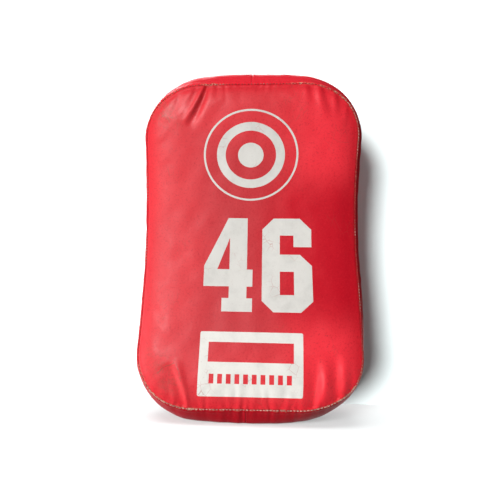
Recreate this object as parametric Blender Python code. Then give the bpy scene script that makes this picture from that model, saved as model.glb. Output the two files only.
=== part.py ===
"""Blocking pad: a bent, crowned foam cushion in a sewn vinyl cover, with two grab handles on its back.

Units are metres. +Z is up, +X is to the right and the front faces -Y. The pad stands on its lower end,
and the origin is the bottom centre of its bounding box.
"""
from math import cos, exp, pi, radians, sin

import bmesh
import bpy
from mathutils import Matrix, Vector

# The cushion, measured along its bent middle surface
PAD_WIDTH = 0.401
PAD_LENGTH = 0.638
CORNER_RADIUS = 0.111
BEND_RADIUS = 1.22
LEAN = radians(3.0)
WAIST = 0.030
SEAM_TO_SEAM = 0.105
FRONT_CROWN = 0.011
BACK_CROWN = 0.009
FRONT_CROWN_RISE = 0.095
BACK_CROWN_RISE = 0.058
SIDE_BULGE = 0.0125
END_BULGE = 0.0275
BASE_BULGE = 0.0295
END_SPREAD = 0.12
FLAT_DEPTH = 0.0115

# Where a panel's rings lie: shares of the crown's rise from the seam, then shares of the middle's size
RISE_RINGS = (0, 0.08, 0.2, 0.38, 0.62, 0.86)
MIDDLE_RINGS = (0.94, 0.75, 0.56, 0.37, 0.18)

# The cover and what lies under it
VINYL = 0.0015
GAP = 0.0004
FOAM_SLACK = 0.0020
FOAM_SPLIT = -0.012
THREAD_RADIUS = 0.0006

# How finely the outline is drawn: segments on an end, on a long side and on a corner
END_SEGMENTS = 6
SIDE_SEGMENTS = 8
CORNER_SEGMENTS = 7
BAND_ROWS = 10
FOAM_ROWS = 5

# The grab handles
HANDLE_X = 0.078
WEB_WIDTH = 0.038
WEB_THICKNESS = 0.0026
ANCHOR_Z = 0.086
SEWN_LENGTH = 0.040
LOOP_HEIGHT = 0.050
LOOP_FLAT_Z = 0.046
ROOT_PULL = 0.018
CREST_PULL = 0.016
LOOP_STEPS = 12
HINGE_HEIGHT = 0.012
LOOP_SPLIT_HEIGHT = 0.018
PATCH_WIDTH = 0.072
PATCH_LENGTH = 0.064
PATCH_CORNER = 0.008
GRIP_LENGTH = 0.096
GRIP_WIDTH = 0.048
GRIP_DEPTH = 0.024
SLEEVE = 0.0016
SLEEVE_OVERHANG = 0.004
STITCH_BOX_WIDTH = 0.030
STITCH_BOX_LENGTH = 0.030
STITCH_WIDTH = 0.0016
STITCH_HEIGHT = 0.0008

# The zipper
ZIP_S = -0.168
ZIP_LENGTH = 0.232
ZIP_SLOT_WIDTH = 0.013
TAPE_WIDTH = 0.014
TAPE_THICKNESS = 0.0009
TAPE_DROP = 0.0007
TAPE_OVERRUN = 0.009
CHAIN_WIDTH = 0.0056
CHAIN_HEIGHT = 0.0024
SLIDER_LENGTH = 0.016
SLIDER_WIDTH = 0.0094
SLIDER_WALL = 0.0012
STOP_LENGTH = 0.0045
STOP_WIDTH = 0.0068
PULL_LENGTH = 0.034
PULL_WIDTH = 0.0075
PULL_THICKNESS = 0.0014
PULL_BAR = 0.0007
PULL_WINDOW = 0.0030
PULL_CLEARANCE = 0.0012
PULL_CORNER = 0.0009
PULL_HOLE_LENGTH = 0.010
PULL_HOLE_WIDTH = 0.0034
PULL_AXIS_HEIGHT = 0.0037
CHAIN_BASE = -0.0018
SLIDER_TOP = 0.0024
BRIDGE_TOP = 0.0062
BRIDGE_LENGTH = 0.0084
BRIDGE_WIDTH = 0.0018

# The vents
VENT_S = 0.135
VENT_DEPTH = -0.018
EYELET_FLANGE = 0.0080
EYELET_BORE = 0.0036
EYELET_BARREL = 0.0048
BAND_HOLE = 0.0052
EYELET_RISE = 0.0009
EYELET_ROLL = 0.0008
EYELET_END = -0.0031
WASHER_THICKNESS = 0.0006
WASHER_DROP = 0.0007

# Small lengths for the making of the shapes, and the largest share of a plate's width that its corner takes
STEP = 0.0005
CUT_REACH = 0.005
SPLIT_MARGIN = 0.002
NEARLY = 0.999

HALF_T = SEAM_TO_SEAM / 2
SEAM_HALF_W = PAD_WIDTH / 2 - SIDE_BULGE
SEAM_HALF_L = (PAD_LENGTH - END_BULGE - BASE_BULGE) / 2
SEAM_CORNER = CORNER_RADIUS - SIDE_BULGE
BAND_HALF = HALF_T - VINYL - GAP
WEB_BASE = VINYL + 3 * GAP

VINYL_RED = (0.62, 0.02, 0.03)
FOAM_WHITE = (0.80, 0.78, 0.70)
FOAM_GREY = (0.25, 0.26, 0.28)
WEB_BLACK = (0.02, 0.02, 0.022)
THREAD_TAN = (0.55, 0.40, 0.27)
BRASS = (0.75, 0.56, 0.25)
NICKEL = (0.62, 0.61, 0.58)


def wall_bulge(x, s):
    """How far the middle of the wall stands out past a point of the seam line, most at the two ends."""
    lower = (1 - s / SEAM_HALF_L) / 2
    end = END_BULGE + (BASE_BULGE - END_BULGE) * lower
    return SIDE_BULGE + (end - SIDE_BULGE) * exp(-(x / END_SPREAD) ** 2)


def outline(inset=0.0, bulge=0.0):
    """Points (x, s, normal x, normal s) round the seam line, drawn in by inset and let out by bulge."""
    half_w = SEAM_HALF_W - inset
    half_l = SEAM_HALF_L - inset
    radius = SEAM_CORNER - inset
    straight_w = half_w - radius
    straight_l = half_l - radius
    points = []
    for corner in range(4):
        start = corner * pi / 2
        sign_x = (1, -1, -1, 1)[corner]
        sign_s = (1, 1, -1, -1)[corner]
        centre = (sign_x * straight_w, sign_s * straight_l)
        for step in range(CORNER_SEGMENTS):
            angle = start + step * pi / 2 / CORNER_SEGMENTS
            points.append((centre[0] + radius * cos(angle), centre[1] + radius * sin(angle), angle))
        angle = start + pi / 2
        segments = END_SEGMENTS if corner in (0, 2) else SIDE_SEGMENTS
        reach = 2 * straight_w if corner in (0, 2) else 2 * straight_l
        first = (centre[0] + radius * cos(angle), centre[1] + radius * sin(angle))
        run = (cos(angle + pi / 2), sin(angle + pi / 2))
        for step in range(segments):
            along = reach * step / segments
            points.append((first[0] + run[0] * along, first[1] + run[1] * along, angle))
    result = []
    for x, s, angle in points:
        normal_x = cos(angle)
        normal_s = sin(angle)
        out = bulge * wall_bulge(x, s)
        result.append((x + normal_x * out, s + normal_s * out, normal_x, normal_s))
    return result


def drawn_in(x, s):
    """x after the sides are drawn in at the waist."""
    return x * (1 - WAIST * cos(min(abs(s), PAD_LENGTH / 2) * pi / PAD_LENGTH) ** 2)


def bend(x, s, depth):
    """A point of the flat pad, s along it and depth towards the front, on the bent and leaning pad."""
    angle = s / BEND_RADIUS
    reach = BEND_RADIUS - depth
    y = -BEND_RADIUS + reach * cos(angle)
    z = reach * sin(angle)
    return Vector((drawn_in(x, s), y * cos(LEAN) - z * sin(LEAN), y * sin(LEAN) + z * cos(LEAN)))


def lowest_band_point():
    """The lowest height of the wall's bulge, before the lower end is flattened."""
    lows = []
    for row in range(101):
        share = -1 + row / 50
        lows.append(bend(0, -SEAM_HALF_L - BASE_BULGE * (1 - share ** 2), share * HALF_T).z)
    return min(lows)


FLOOR_Z = lowest_band_point() + FLAT_DEPTH


def rest_on_floor(point, layer):
    """The point, pushed up to layer above the floor where the pad's weight flattens its lower end."""
    point.z = max(point.z, FLOOR_Z + layer)
    return point


def local_frame(x, s, depth, side):
    """A frame on the pad: X to the right, Y out of its front (side 1) or back (side -1), Z along it."""
    up = (bend(x, s + STEP, depth) - bend(x, s - STEP, depth)).normalized()
    across = Vector((1, 0, 0))
    out = across.cross(up) * side
    frame = Matrix((across, out, up)).transposed().to_4x4()
    frame.translation = bend(x, s, depth)
    return frame


def material(name, colour, roughness, metallic=0.0):
    made = bpy.data.materials.get(name) or bpy.data.materials.new(name)
    made.use_nodes = True
    shader = made.node_tree.nodes["Principled BSDF"]
    shader.inputs["Base Color"].default_value = (*colour, 1.0)
    shader.inputs["Roughness"].default_value = roughness
    shader.inputs["Metallic"].default_value = metallic
    return made


def red_vinyl():
    return material("red vinyl", VINYL_RED, 0.38)


def add_object(name, bm, look, parent=None, crease=35):
    """A named object from bm, shaded smooth up to crease degrees."""
    bmesh.ops.recalc_face_normals(bm, faces=bm.faces)
    mesh = bpy.data.meshes.new(name)
    bm.to_mesh(mesh)
    bm.free()
    mesh.shade_smooth()
    mesh.set_sharp_from_angle(angle=radians(crease))
    made = bpy.data.objects.new(name, mesh)
    made.data.materials.append(look)
    bpy.context.scene.collection.objects.link(made)
    if parent:
        made.parent = parent
    return made


def combine(target, tool, operation):
    """Cuts tool out of target, or joins it on, by a Boolean."""
    tool.hide_render = True
    tool.display_type = "WIRE"
    change = target.modifiers.new(tool.name, "BOOLEAN")
    change.operation = operation
    change.object = tool


def disc_body(name, rings, first, last, look):
    """A closed body from rings of points, closed by a fan at each end."""
    bm = bmesh.new()
    loops = [[bm.verts.new(point) for point in ring] for ring in rings]
    for near, far in zip(loops, loops[1:]):
        for i in range(len(near)):
            j = (i + 1) % len(near)
            bm.faces.new((near[i], near[j], far[j], far[i]))
    for centre, loop in ((first, loops[0]), (last, loops[-1])):
        tip = bm.verts.new(centre)
        for i in range(len(loop)):
            bm.faces.new((tip, loop[i], loop[(i + 1) % len(loop)]))
    return add_object(name, bm, look)


def swept_body(name, sections, look, closed=False, parent=None, crease=35):
    """A closed body from equal sections, each a loop of points, joined end to end where closed."""
    bm = bmesh.new()
    loops = [[bm.verts.new(point) for point in section] for section in sections]
    pairs = list(zip(loops, loops[1:]))
    if closed:
        pairs.append((loops[-1], loops[0]))
    for near, far in pairs:
        for i in range(len(near)):
            j = (i + 1) % len(near)
            bm.faces.new((near[i], near[j], far[j], far[i]))
    if not closed:
        for loop in (loops[0], loops[-1]):
            size = len(loop)
            for i in range(size // 2 - 1):
                bm.faces.new((loop[i], loop[i + 1], loop[size - 2 - i], loop[size - 1 - i]))
    return add_object(name, bm, look, parent, crease)


def crown(inset, height, rise):
    """How far a panel stands proud of its seam, at a distance inset from it."""
    left = 1 - min(inset / rise, 1)
    return height * (1 - left ** 2)


def panel_rings(side, height, rise, under, floor):
    """Rings from the seam to a panel's middle, under below its outer surface, and the middle itself."""
    rings = []
    for share in RISE_RINGS:
        depth = side * (HALF_T + crown(rise * share, height, rise) - under)
        rings.append([rest_on_floor(bend(x, s, depth), floor) for x, s, _, _ in outline(rise * share)])
    top = side * (HALF_T + height - under)
    for share in MIDDLE_RINGS:
        rings.append([bend(x * share, s * share, top) for x, s, _, _ in outline(rise)])
    return rings, bend(0, 0, top)


def cover_panel(name, side, height, rise):
    outer, outer_centre = panel_rings(side, height, rise, 0.0, 0.0)
    inner, inner_centre = panel_rings(side, height, rise, VINYL, 0.0)
    return disc_body(name, outer[::-1] + inner, outer_centre, inner_centre, red_vinyl())


def band_ring(depth, under):
    """The ring of points round the wall at a depth, under below its outer surface."""
    ring = []
    for x, s, normal_x, normal_s in outline(0.0, 1 - (depth / BAND_HALF) ** 2):
        point = bend(x - normal_x * under, s - normal_s * under, depth)
        ring.append(rest_on_floor(point, under))
    return ring


def side_band(name, side):
    """Half of the wall, from the top centre to the bottom centre on one side."""
    depths = [BAND_HALF * (2 * row / BAND_ROWS - 1) for row in range(BAND_ROWS + 1)]
    outer = [band_ring(depth, 0.0) for depth in depths]
    inner = [band_ring(depth, VINYL) for depth in depths]
    count = len(outer[0])
    top = CORNER_SEGMENTS + END_SEGMENTS // 2
    steps = range(count // 2 + 1)
    columns = [(top - side * step) % count for step in steps]
    sections = []
    for place, column in enumerate(columns):
        section = [ring[column].copy() for ring in outer] + [ring[column].copy() for ring in inner[::-1]]
        if place in (0, len(columns) - 1):
            for point in section:
                point.x = side * GAP / 2
        sections.append(section)
    return swept_body(name, sections, red_vinyl())


def seam_thread(name, side):
    """The thread that runs in the groove between a panel and the wall."""
    sections = []
    for x, s, normal_x, normal_s in outline():
        section = []
        for corner in range(6):
            angle = corner * pi / 3
            out = THREAD_RADIUS + GAP + THREAD_RADIUS * cos(angle)
            depth = side * (HALF_T - THREAD_RADIUS + THREAD_RADIUS * sin(angle))
            section.append(bend(x + normal_x * out, s + normal_s * out, depth))
        sections.append(section)
    return swept_body(name, sections, material("thread", THREAD_TAN, 0.8), closed=True)


def foam_layer(name, side, height, rise, slack, look):
    """One foam layer, from the split to the panel on its side."""
    under = VINYL + slack
    inside = VINYL + FOAM_SLACK
    split = FOAM_SPLIT + side * GAP / 2
    edge = side * (HALF_T - under)
    face, centre = panel_rings(side, height, rise, under, inside)
    cut_loop = outline(inside)
    cut_face = [[bend(x * share, s * share, split) for x, s, _, _ in cut_loop] for share in (0.4, 0.75)]
    walls = [band_ring(split + (edge - split) * row / FOAM_ROWS, inside) for row in range(FOAM_ROWS)]
    rim = [bend(x, s, edge) for x, s, _, _ in cut_loop]
    return disc_body(name, cut_face + walls + [rim] + face[1:], bend(0, 0, split), centre, look)


def rounded_plate(bm, frame, width, length, base, top, radius, steps=4):
    """A plate with rounded corners in a frame's XZ plane, from base to top along its Y."""
    loop = []
    for corner in range(4):
        centre_x = (1, -1, -1, 1)[corner] * (width / 2 - radius)
        centre_z = (1, 1, -1, -1)[corner] * (length / 2 - radius)
        for step in range(steps + 1):
            angle = (corner + step / steps) * pi / 2
            loop.append((centre_x + radius * cos(angle), centre_z + radius * sin(angle)))
    low = [bm.verts.new(frame @ Vector((x, base, z))) for x, z in loop]
    high = [bm.verts.new(frame @ Vector((x, top, z))) for x, z in loop]
    bm.faces.new(low)
    bm.faces.new(high)
    for i in range(len(loop)):
        j = (i + 1) % len(loop)
        bm.faces.new((low[i], low[j], high[j], high[i]))


def box(bm, frame, low, high):
    """A box between two corners of a frame."""
    verts = []
    for x in (low[0], high[0]):
        for y in (low[1], high[1]):
            for z in (low[2], high[2]):
                verts.append(bm.verts.new(frame @ Vector((x, y, z))))
    for face in ((0, 1, 3, 2), (4, 5, 7, 6), (0, 1, 5, 4), (2, 3, 7, 6), (0, 2, 6, 4), (1, 3, 7, 5)):
        bm.faces.new([verts[corner] for corner in face])


def plate(name, frame, width, length, base, top, radius, look, parent=None):
    bm = bmesh.new()
    rounded_plate(bm, frame, width, length, base, top, radius)
    return add_object(name, bm, look, parent)


def block(name, frame, low, high, look, parent=None):
    bm = bmesh.new()
    box(bm, frame, low, high)
    return add_object(name, bm, look, parent)


def empty(name, frame):
    """An empty on a joint's axis, whose X, Y and Z are the frame's."""
    made = bpy.data.objects.new(name, None)
    made.matrix_world = frame
    bpy.context.scene.collection.objects.link(made)
    return made


def bezier(start, start_pull, end_pull, end, share):
    rest = 1 - share
    return (start * rest ** 3 + start_pull * 3 * rest ** 2 * share
            + end_pull * 3 * rest * share ** 2 + end * share ** 3)


def loop_path(frame, end):
    """The middle of the webbing in a handle's frame, from the sewn end to the middle of the grip.

    Each point is (z, y): along the pad towards the end, and out of the back.
    """
    anchor = frame.inverted() @ bend(HANDLE_X, end * ANCHOR_Z, -HALF_T - BACK_CROWN)
    tip = frame.inverted() @ bend(HANDLE_X, end * (ANCHOR_Z + SEWN_LENGTH), -HALF_T - BACK_CROWN)
    lift = WEB_BASE + WEB_THICKNESS / 2
    start = Vector((anchor.z, anchor.y + lift))
    outer = Vector((tip.z, tip.y + lift))
    along = (start - outer).normalized()
    flat = Vector((end * LOOP_FLAT_Z, LOOP_HEIGHT))
    points = [outer + (start - outer) * step / 3 for step in range(3)]
    for step in range(LOOP_STEPS + 1):
        points.append(bezier(start, start + along * ROOT_PULL, flat + Vector((end * CREST_PULL, 0)), flat,
                             step / LOOP_STEPS))
    points.append(Vector((end * LOOP_FLAT_Z / 2, LOOP_HEIGHT)))
    points.append(Vector((0, LOOP_HEIGHT)))
    return points


def web_sections(path, y_origin):
    """Sections of webbing along a path of (z, y) points, square to it, with y from y_origin."""
    sections = []
    for place, point in enumerate(path):
        before = path[max(place - 1, 0)]
        after = path[min(place + 1, len(path) - 1)]
        run = (after - before).normalized()
        side = Vector((-run.y, run.x)) * WEB_THICKNESS / 2
        section = []
        for offset, reach in ((side, 1), (-side, 1), (-side, -1), (side, -1)):
            height = point.y + offset.y - y_origin
            section.append(Vector((reach * WEB_WIDTH / 2, height, point.x + offset.x)))
        sections.append(section)
    return sections


def trim(path, keep_sewn):
    """The part of the path on one side of the level plane where the loop is split.

    It also gives the plane's z and the webbing's direction there.
    """
    for low, high in zip(path, path[1:]):
        if low.y <= LOOP_SPLIT_HEIGHT < high.y:
            break
    slope = (high - low) / (high.y - low.y)
    middle = low + slope * (LOOP_SPLIT_HEIGHT - low.y)
    outward = GAP if keep_sewn else -GAP
    plane = middle.x + (outward if middle.x > 0 else -outward)
    edge = low + (high - low) / (high.x - low.x) * (plane - low.x)
    sewn = [point for point in path if abs(point.x) > abs(plane) + SPLIT_MARGIN]
    free = [point for point in path if abs(point.x) < abs(plane) - SPLIT_MARGIN]
    return (sewn + [edge] if keep_sewn else [edge] + free), plane, (high - low).normalized()


def square_off(section, plane, run):
    """Slides a section's corners along the webbing until they lie on the level plane."""
    for corner in section:
        travel = (plane - corner.z) / run.x
        corner.z = plane
        corner.y += run.y * travel


def web_end(name, frame, end):
    """The webbing that is sewn down at one end of a handle, with the start of the loop."""
    path, plane, run = trim(loop_path(frame, end), True)
    sections = web_sections(path, 0)
    square_off(sections[-1], plane, run)
    placed = [[frame @ corner for corner in section] for section in sections]
    return swept_body(name, placed, material("webbing", WEB_BLACK, 0.75))


def web_loop(name, frame, hinge):
    """The free loop of webbing, which swings on the hinge."""
    upper, upper_plane, upper_run = trim(loop_path(frame, 1), False)
    lower, lower_plane, lower_run = trim(loop_path(frame, -1), False)
    sections = web_sections(upper + lower[-2::-1], HINGE_HEIGHT)
    square_off(sections[0], upper_plane, upper_run)
    square_off(sections[-1], lower_plane, lower_run)
    return swept_body(name, sections, material("webbing", WEB_BLACK, 0.75), parent=hinge)


def round_ended(width, depth, steps=4):
    """A loop of (x, y) points with round ends, width wide and depth deep."""
    radius = depth / 2
    loop = []
    for end in (1, -1):
        for step in range(steps + 1):
            angle = (step / steps - 0.5) * pi
            loop.append((end * (width / 2 - radius + radius * cos(angle)), end * radius * sin(angle)))
    return loop


def hollow_grip(name, outer, inner, length, puckered, look, hinge):
    """A tube of an outer and an inner (width, depth) round the loop; puckered draws its ends in."""
    height = LOOP_HEIGHT - HINGE_HEIGHT
    stations = [(-length / 2, inner)]
    for end in (-1, 1):
        tight = (outer[0] - puckered, outer[1] - puckered)
        steps = [(end * length / 2, tight), (end * (length / 2 - puckered), outer)]
        stations += steps if end < 0 else steps[::-1]
    stations.append((length / 2, inner))
    sections = []
    for z, (width, depth) in stations:
        sections.append([Vector((x, height + y, z)) for x, y in round_ended(width, depth)])
    return swept_body(name, sections, look, closed=True, parent=hinge)


def box_stitching(name, frame):
    """A sewn box with a cross in it, seen as thread standing on the webbing."""
    half_w = STITCH_BOX_WIDTH / 2
    half_l = STITCH_BOX_LENGTH / 2
    thick = STITCH_WIDTH
    base = WEB_BASE + WEB_THICKNESS + GAP
    bm = bmesh.new()
    outer = []
    for x, z in ((1, 1), (-1, 1), (-1, -1), (1, -1)):
        outer.append(bm.verts.new(frame @ Vector((x * half_w, base, z * half_l))))
    holes = []
    for side in range(4):
        turn = Matrix.Rotation(-side * pi / 2, 3, "Y")
        reach = half_w - 2 * thick
        near = [Vector((reach, 0, half_l - thick)), Vector((-reach, 0, half_l - thick)),
                Vector((0, 0, thick))]
        holes.append([bm.verts.new(frame @ (turn @ point + Vector((0, base, 0)))) for point in near])
    for side in range(4):
        after = (side + 1) % 4
        bm.faces.new((outer[side], outer[after], holes[side][1], holes[side][0]))
        bm.faces.new((outer[after], holes[side][1], holes[side][2], holes[after][2], holes[after][0]))
    bm.faces.new([hole[2] for hole in holes])
    raised = bmesh.ops.extrude_face_region(bm, geom=bm.faces[:])
    lifted = [item for item in raised["geom"] if isinstance(item, bmesh.types.BMVert)]
    out = (frame.to_3x3() @ Vector((0, 1, 0))) * STITCH_HEIGHT
    bmesh.ops.translate(bm, verts=lifted, vec=out)
    return add_object(name, bm, material("thread", THREAD_TAN, 0.8))


def handle(side_name, side):
    """One grab handle: patches, sewn ends and stitching on the pad, and the loop that swings."""
    frame = local_frame(side * HANDLE_X, 0, -HALF_T - BACK_CROWN, -1)
    for end_name, end in (("upper", 1), ("lower", -1)):
        prefix = side_name + "_handle_" + end_name
        middle = end * (ANCHOR_Z + SEWN_LENGTH / 2)
        seat = local_frame(side * HANDLE_X, middle, -HALF_T - BACK_CROWN, -1)
        plate(prefix + "_patch", seat, PATCH_WIDTH, PATCH_LENGTH, GAP, GAP + VINYL, PATCH_CORNER,
              red_vinyl())
        web_end(prefix + "_web_end", frame, end)
        box_stitching(prefix + "_stitching", seat)
    hinge_frame = frame @ Matrix.Translation((0, HINGE_HEIGHT, 0))
    hinge = empty(side_name + "_handle_hinge", hinge_frame)
    web_loop(side_name + "_handle_loop", frame, hinge)
    slot = (WEB_WIDTH + 5 * GAP, WEB_THICKNESS + 2 * GAP)
    core = (GRIP_WIDTH - 2 * SLEEVE, GRIP_DEPTH - 2 * SLEEVE)
    bore = (core[0] + 2 * GAP, core[1] + 2 * GAP)
    hollow_grip(side_name + "_handle_grip_pad", core, slot, GRIP_LENGTH - 2 * SLEEVE_OVERHANG, SLEEVE,
                material("grey foam", FOAM_GREY, 0.9), hinge)
    hollow_grip(side_name + "_handle_grip_sleeve", (GRIP_WIDTH, GRIP_DEPTH), bore, GRIP_LENGTH, SLEEVE,
                red_vinyl(), hinge)


def wall_point(side, s, depth):
    """A point on the outside of the wall's straight side."""
    out = wall_bulge(SEAM_HALF_W, s) * (1 - (depth / BAND_HALF) ** 2)
    return bend(side * (SEAM_HALF_W + out), s, depth)


def vent(name, band, side, s):
    """A brass eyelet through the wall, with its washer inside."""
    up = (wall_point(side, s + STEP, VENT_DEPTH) - wall_point(side, s - STEP, VENT_DEPTH)).normalized()
    across = (wall_point(side, s, VENT_DEPTH + STEP) - wall_point(side, s, VENT_DEPTH - STEP)).normalized()
    out = across.cross(up).normalized()
    if out.x * side < 0:
        out = -out
    frame = Matrix((across, up, out)).transposed().to_4x4()
    frame.translation = wall_point(side, s, VENT_DEPTH)
    brass = material("brass", BRASS, 0.3, 1.0)
    crest = (EYELET_BORE + EYELET_ROLL, EYELET_RISE + EYELET_ROLL)
    slope_end = (EYELET_FLANGE - EYELET_ROLL, EYELET_RISE)
    barrel = [(EYELET_BARREL, GAP), (EYELET_BARREL, EYELET_END), (EYELET_BORE, EYELET_END)]
    flange = [(EYELET_BORE, EYELET_RISE), crest, slope_end, (EYELET_FLANGE, GAP)]
    turned(name + "_eyelet", frame, flange + barrel, brass)
    face = -VINYL - WASHER_DROP
    back = face - WASHER_THICKNESS
    hole = EYELET_BARREL + GAP
    ring = [(hole, back), (hole, face), (EYELET_FLANGE, face), (EYELET_FLANGE, back)]
    turned(name + "_washer", frame, ring, brass)
    turned_frame = frame @ Matrix.Rotation(pi / 2, 4, "X")
    cutter = plate(name + "_hole", turned_frame, 2 * BAND_HOLE, 2 * BAND_HOLE, -CUT_REACH, CUT_REACH,
                   BAND_HOLE * NEARLY, brass)
    combine(band, cutter, "DIFFERENCE")


def turned(name, frame, profile, look, steps=18):
    """A ring turned round a frame's Z from a closed profile of (radius, height) points."""
    sections = []
    for step in range(steps):
        angle = 2 * pi * step / steps
        sections.append([frame @ Vector((r * cos(angle), r * sin(angle), z)) for r, z in profile])
    return swept_body(name, sections, look, closed=True)


def extruded(name, profile, ends, place, look, parent):
    """A bar with a U-shaped profile of eight points, run from one end to the other."""
    sections = [[Vector(place(end, a, b)) for a, b in profile] for end in ends]
    return swept_body(name, sections, look, parent=parent)


def u_profile(half, inner, foot, top, ceiling):
    """Eight points round a U that stands open end down."""
    return [(-half, foot), (-half, top), (half, top), (half, foot), (inner, foot), (inner, ceiling),
            (-inner, ceiling), (-inner, foot)]


def slider_body(path):
    """The slider, riding over the tooth chain, with the small bridge that holds its pull tab."""
    nickel = material("nickel", NICKEL, 0.3, 1.0)
    channel = u_profile(SLIDER_WIDTH / 2, CHAIN_WIDTH / 2 + GAP, CHAIN_BASE, SLIDER_TOP,
                        SLIDER_TOP - SLIDER_WALL)
    body = extruded("zipper_slider", channel, (-SLIDER_LENGTH / 2, SLIDER_LENGTH / 2),
                    lambda end, a, b: (end, b, a), nickel, path)
    arch = u_profile(BRIDGE_LENGTH / 2, BRIDGE_LENGTH / 2 - SLIDER_WALL, SLIDER_TOP - GAP, BRIDGE_TOP,
                     BRIDGE_TOP - SLIDER_WALL)
    bridge = extruded("zipper_slider_bridge", arch, (-BRIDGE_WIDTH / 2, BRIDGE_WIDTH / 2),
                      lambda end, a, b: (a, b, end), nickel, path)
    combine(body, bridge, "UNION")


def pull_tab(hinge):
    """The pull tab, whose end bar turns inside the slider's bridge."""
    nickel = material("nickel", NICKEL, 0.3, 1.0)
    half = PULL_THICKNESS / 2
    middle = Matrix.Translation(((PULL_BAR - PULL_LENGTH) / 2, 0, 0))
    tab = plate("zipper_pull", middle, PULL_LENGTH + PULL_BAR, PULL_WIDTH, -half, half, PULL_CORNER,
                nickel, hinge)
    reach = BRIDGE_LENGTH / 2 + PULL_CLEARANCE
    window = block("zipper_pull_window", Matrix.Identity(4), (-reach, -CUT_REACH, -PULL_WINDOW / 2),
                   (-PULL_BAR, CUT_REACH, PULL_WINDOW / 2), nickel, hinge)
    combine(tab, window, "DIFFERENCE")
    hole_place = Matrix.Translation((PULL_HOLE_LENGTH - PULL_LENGTH, 0, 0))
    hole = plate("zipper_pull_hole", hole_place, PULL_HOLE_LENGTH, PULL_HOLE_WIDTH, -CUT_REACH, CUT_REACH,
                 PULL_HOLE_WIDTH / 2 * NEARLY, nickel, hinge)
    combine(tab, hole, "DIFFERENCE")


def zipper(back_panel):
    """The zipper that closes the slit in the back panel."""
    frame = local_frame(0, ZIP_S, -HALF_T - BACK_CROWN, -1)
    tape_top = -VINYL - TAPE_DROP
    tape_look = material("zipper tape", WEB_BLACK, 0.85)
    nickel = material("nickel", NICKEL, 0.3, 1.0)
    half = ZIP_LENGTH / 2
    tape_half = half + TAPE_OVERRUN
    for name, side in (("zipper_tape_upper", 1), ("zipper_tape_lower", -1)):
        inner = side * GAP
        outer = side * (GAP + TAPE_WIDTH)
        block(name, frame, (-tape_half, tape_top - TAPE_THICKNESS, min(inner, outer)),
              (tape_half, tape_top, max(inner, outer)), tape_look)
    block("zipper_chain", frame, (-half, CHAIN_BASE, -CHAIN_WIDTH / 2),
          (half, CHAIN_BASE + CHAIN_HEIGHT, CHAIN_WIDTH / 2), nickel)
    for name, side in (("zipper_stop_left", -1), ("zipper_stop_right", 1)):
        near = side * (half + GAP)
        far = side * (half + GAP + STOP_LENGTH)
        block(name, frame, (min(near, far), CHAIN_BASE, -STOP_WIDTH / 2),
              (max(near, far), CHAIN_BASE + CHAIN_HEIGHT + GAP, STOP_WIDTH / 2), nickel)
    slot = plate("zipper_slot", frame, ZIP_LENGTH + 2 * STOP_LENGTH + ZIP_SLOT_WIDTH / 2, ZIP_SLOT_WIDTH,
                 -CUT_REACH, CUT_REACH, ZIP_SLOT_WIDTH / 2 * NEARLY, nickel)
    combine(back_panel, slot, "DIFFERENCE")
    closed = half - SLIDER_LENGTH / 2 - GAP
    path = empty("zipper_slide_path", frame @ Matrix.Translation((closed, 0, 0)))
    slider_body(path)
    hinge = empty("zipper_pull_hinge", frame @ Matrix.Translation((closed, PULL_AXIS_HEIGHT, 0)))
    pull_tab(hinge)


def stand_on_origin():
    """Moves everything so that the origin is the bottom centre of the bounding box."""
    bpy.context.view_layer.update()
    depsgraph = bpy.context.evaluated_depsgraph_get()
    ys = []
    for made in bpy.context.scene.objects:
        if made.type == "MESH" and not made.hide_render:
            mesh = made.evaluated_get(depsgraph).to_mesh()
            ys += [(made.matrix_world @ vert.co).y for vert in mesh.vertices]
            made.evaluated_get(depsgraph).to_mesh_clear()
    root = bpy.data.objects.new("pad_origin", None)
    bpy.context.scene.collection.objects.link(root)
    for made in list(bpy.context.scene.objects):
        if made is not root and made.parent is None:
            made.parent = root
    root.location = (0, -(min(ys) + max(ys)) / 2, -FLOOR_Z)


def build():
    for made in list(bpy.data.objects):
        bpy.data.objects.remove(made)
    cover_panel("front_cover_panel", 1, FRONT_CROWN, FRONT_CROWN_RISE)
    back_panel = cover_panel("back_cover_panel", -1, BACK_CROWN, BACK_CROWN_RISE)
    bands = {1: side_band("right_side_band", 1), -1: side_band("left_side_band", -1)}
    seam_thread("front_seam_thread", 1)
    seam_thread("back_seam_thread", -1)
    cream_foam = material("cream foam", FOAM_WHITE, 0.9)
    grey_foam = material("grey foam", FOAM_GREY, 0.9)
    foam_layer("strike_foam", 1, FRONT_CROWN, FRONT_CROWN_RISE, GAP, cream_foam)
    foam_layer("core_foam", -1, BACK_CROWN, BACK_CROWN_RISE, FOAM_SLACK, grey_foam)
    zipper(back_panel)
    handle("left", -1)
    handle("right", 1)
    for side_name, side in (("left", -1), ("right", 1)):
        vent(side_name + "_upper_vent", bands[side], side, VENT_S)
        vent(side_name + "_lower_vent", bands[side], side, -VENT_S)
    stand_on_origin()


build()
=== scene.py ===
"""Looks of the blocking pad: a sewn vinyl cover over foam, webbing handles, a zipper and brass vents.

The camera stands at the photograph's viewing angle. Lengths are in metres, in the frame of the CAD part.
The pad is first drawn flat, with x across it, s along it and depth towards its front, and then bent.
"""
from math import cos, hypot, pi, radians, sin, sqrt

import bpy
import numpy as np
from mathutils import Euler, Matrix, Vector
from mathutils.geometry import delaunay_2d_cdt


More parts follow.
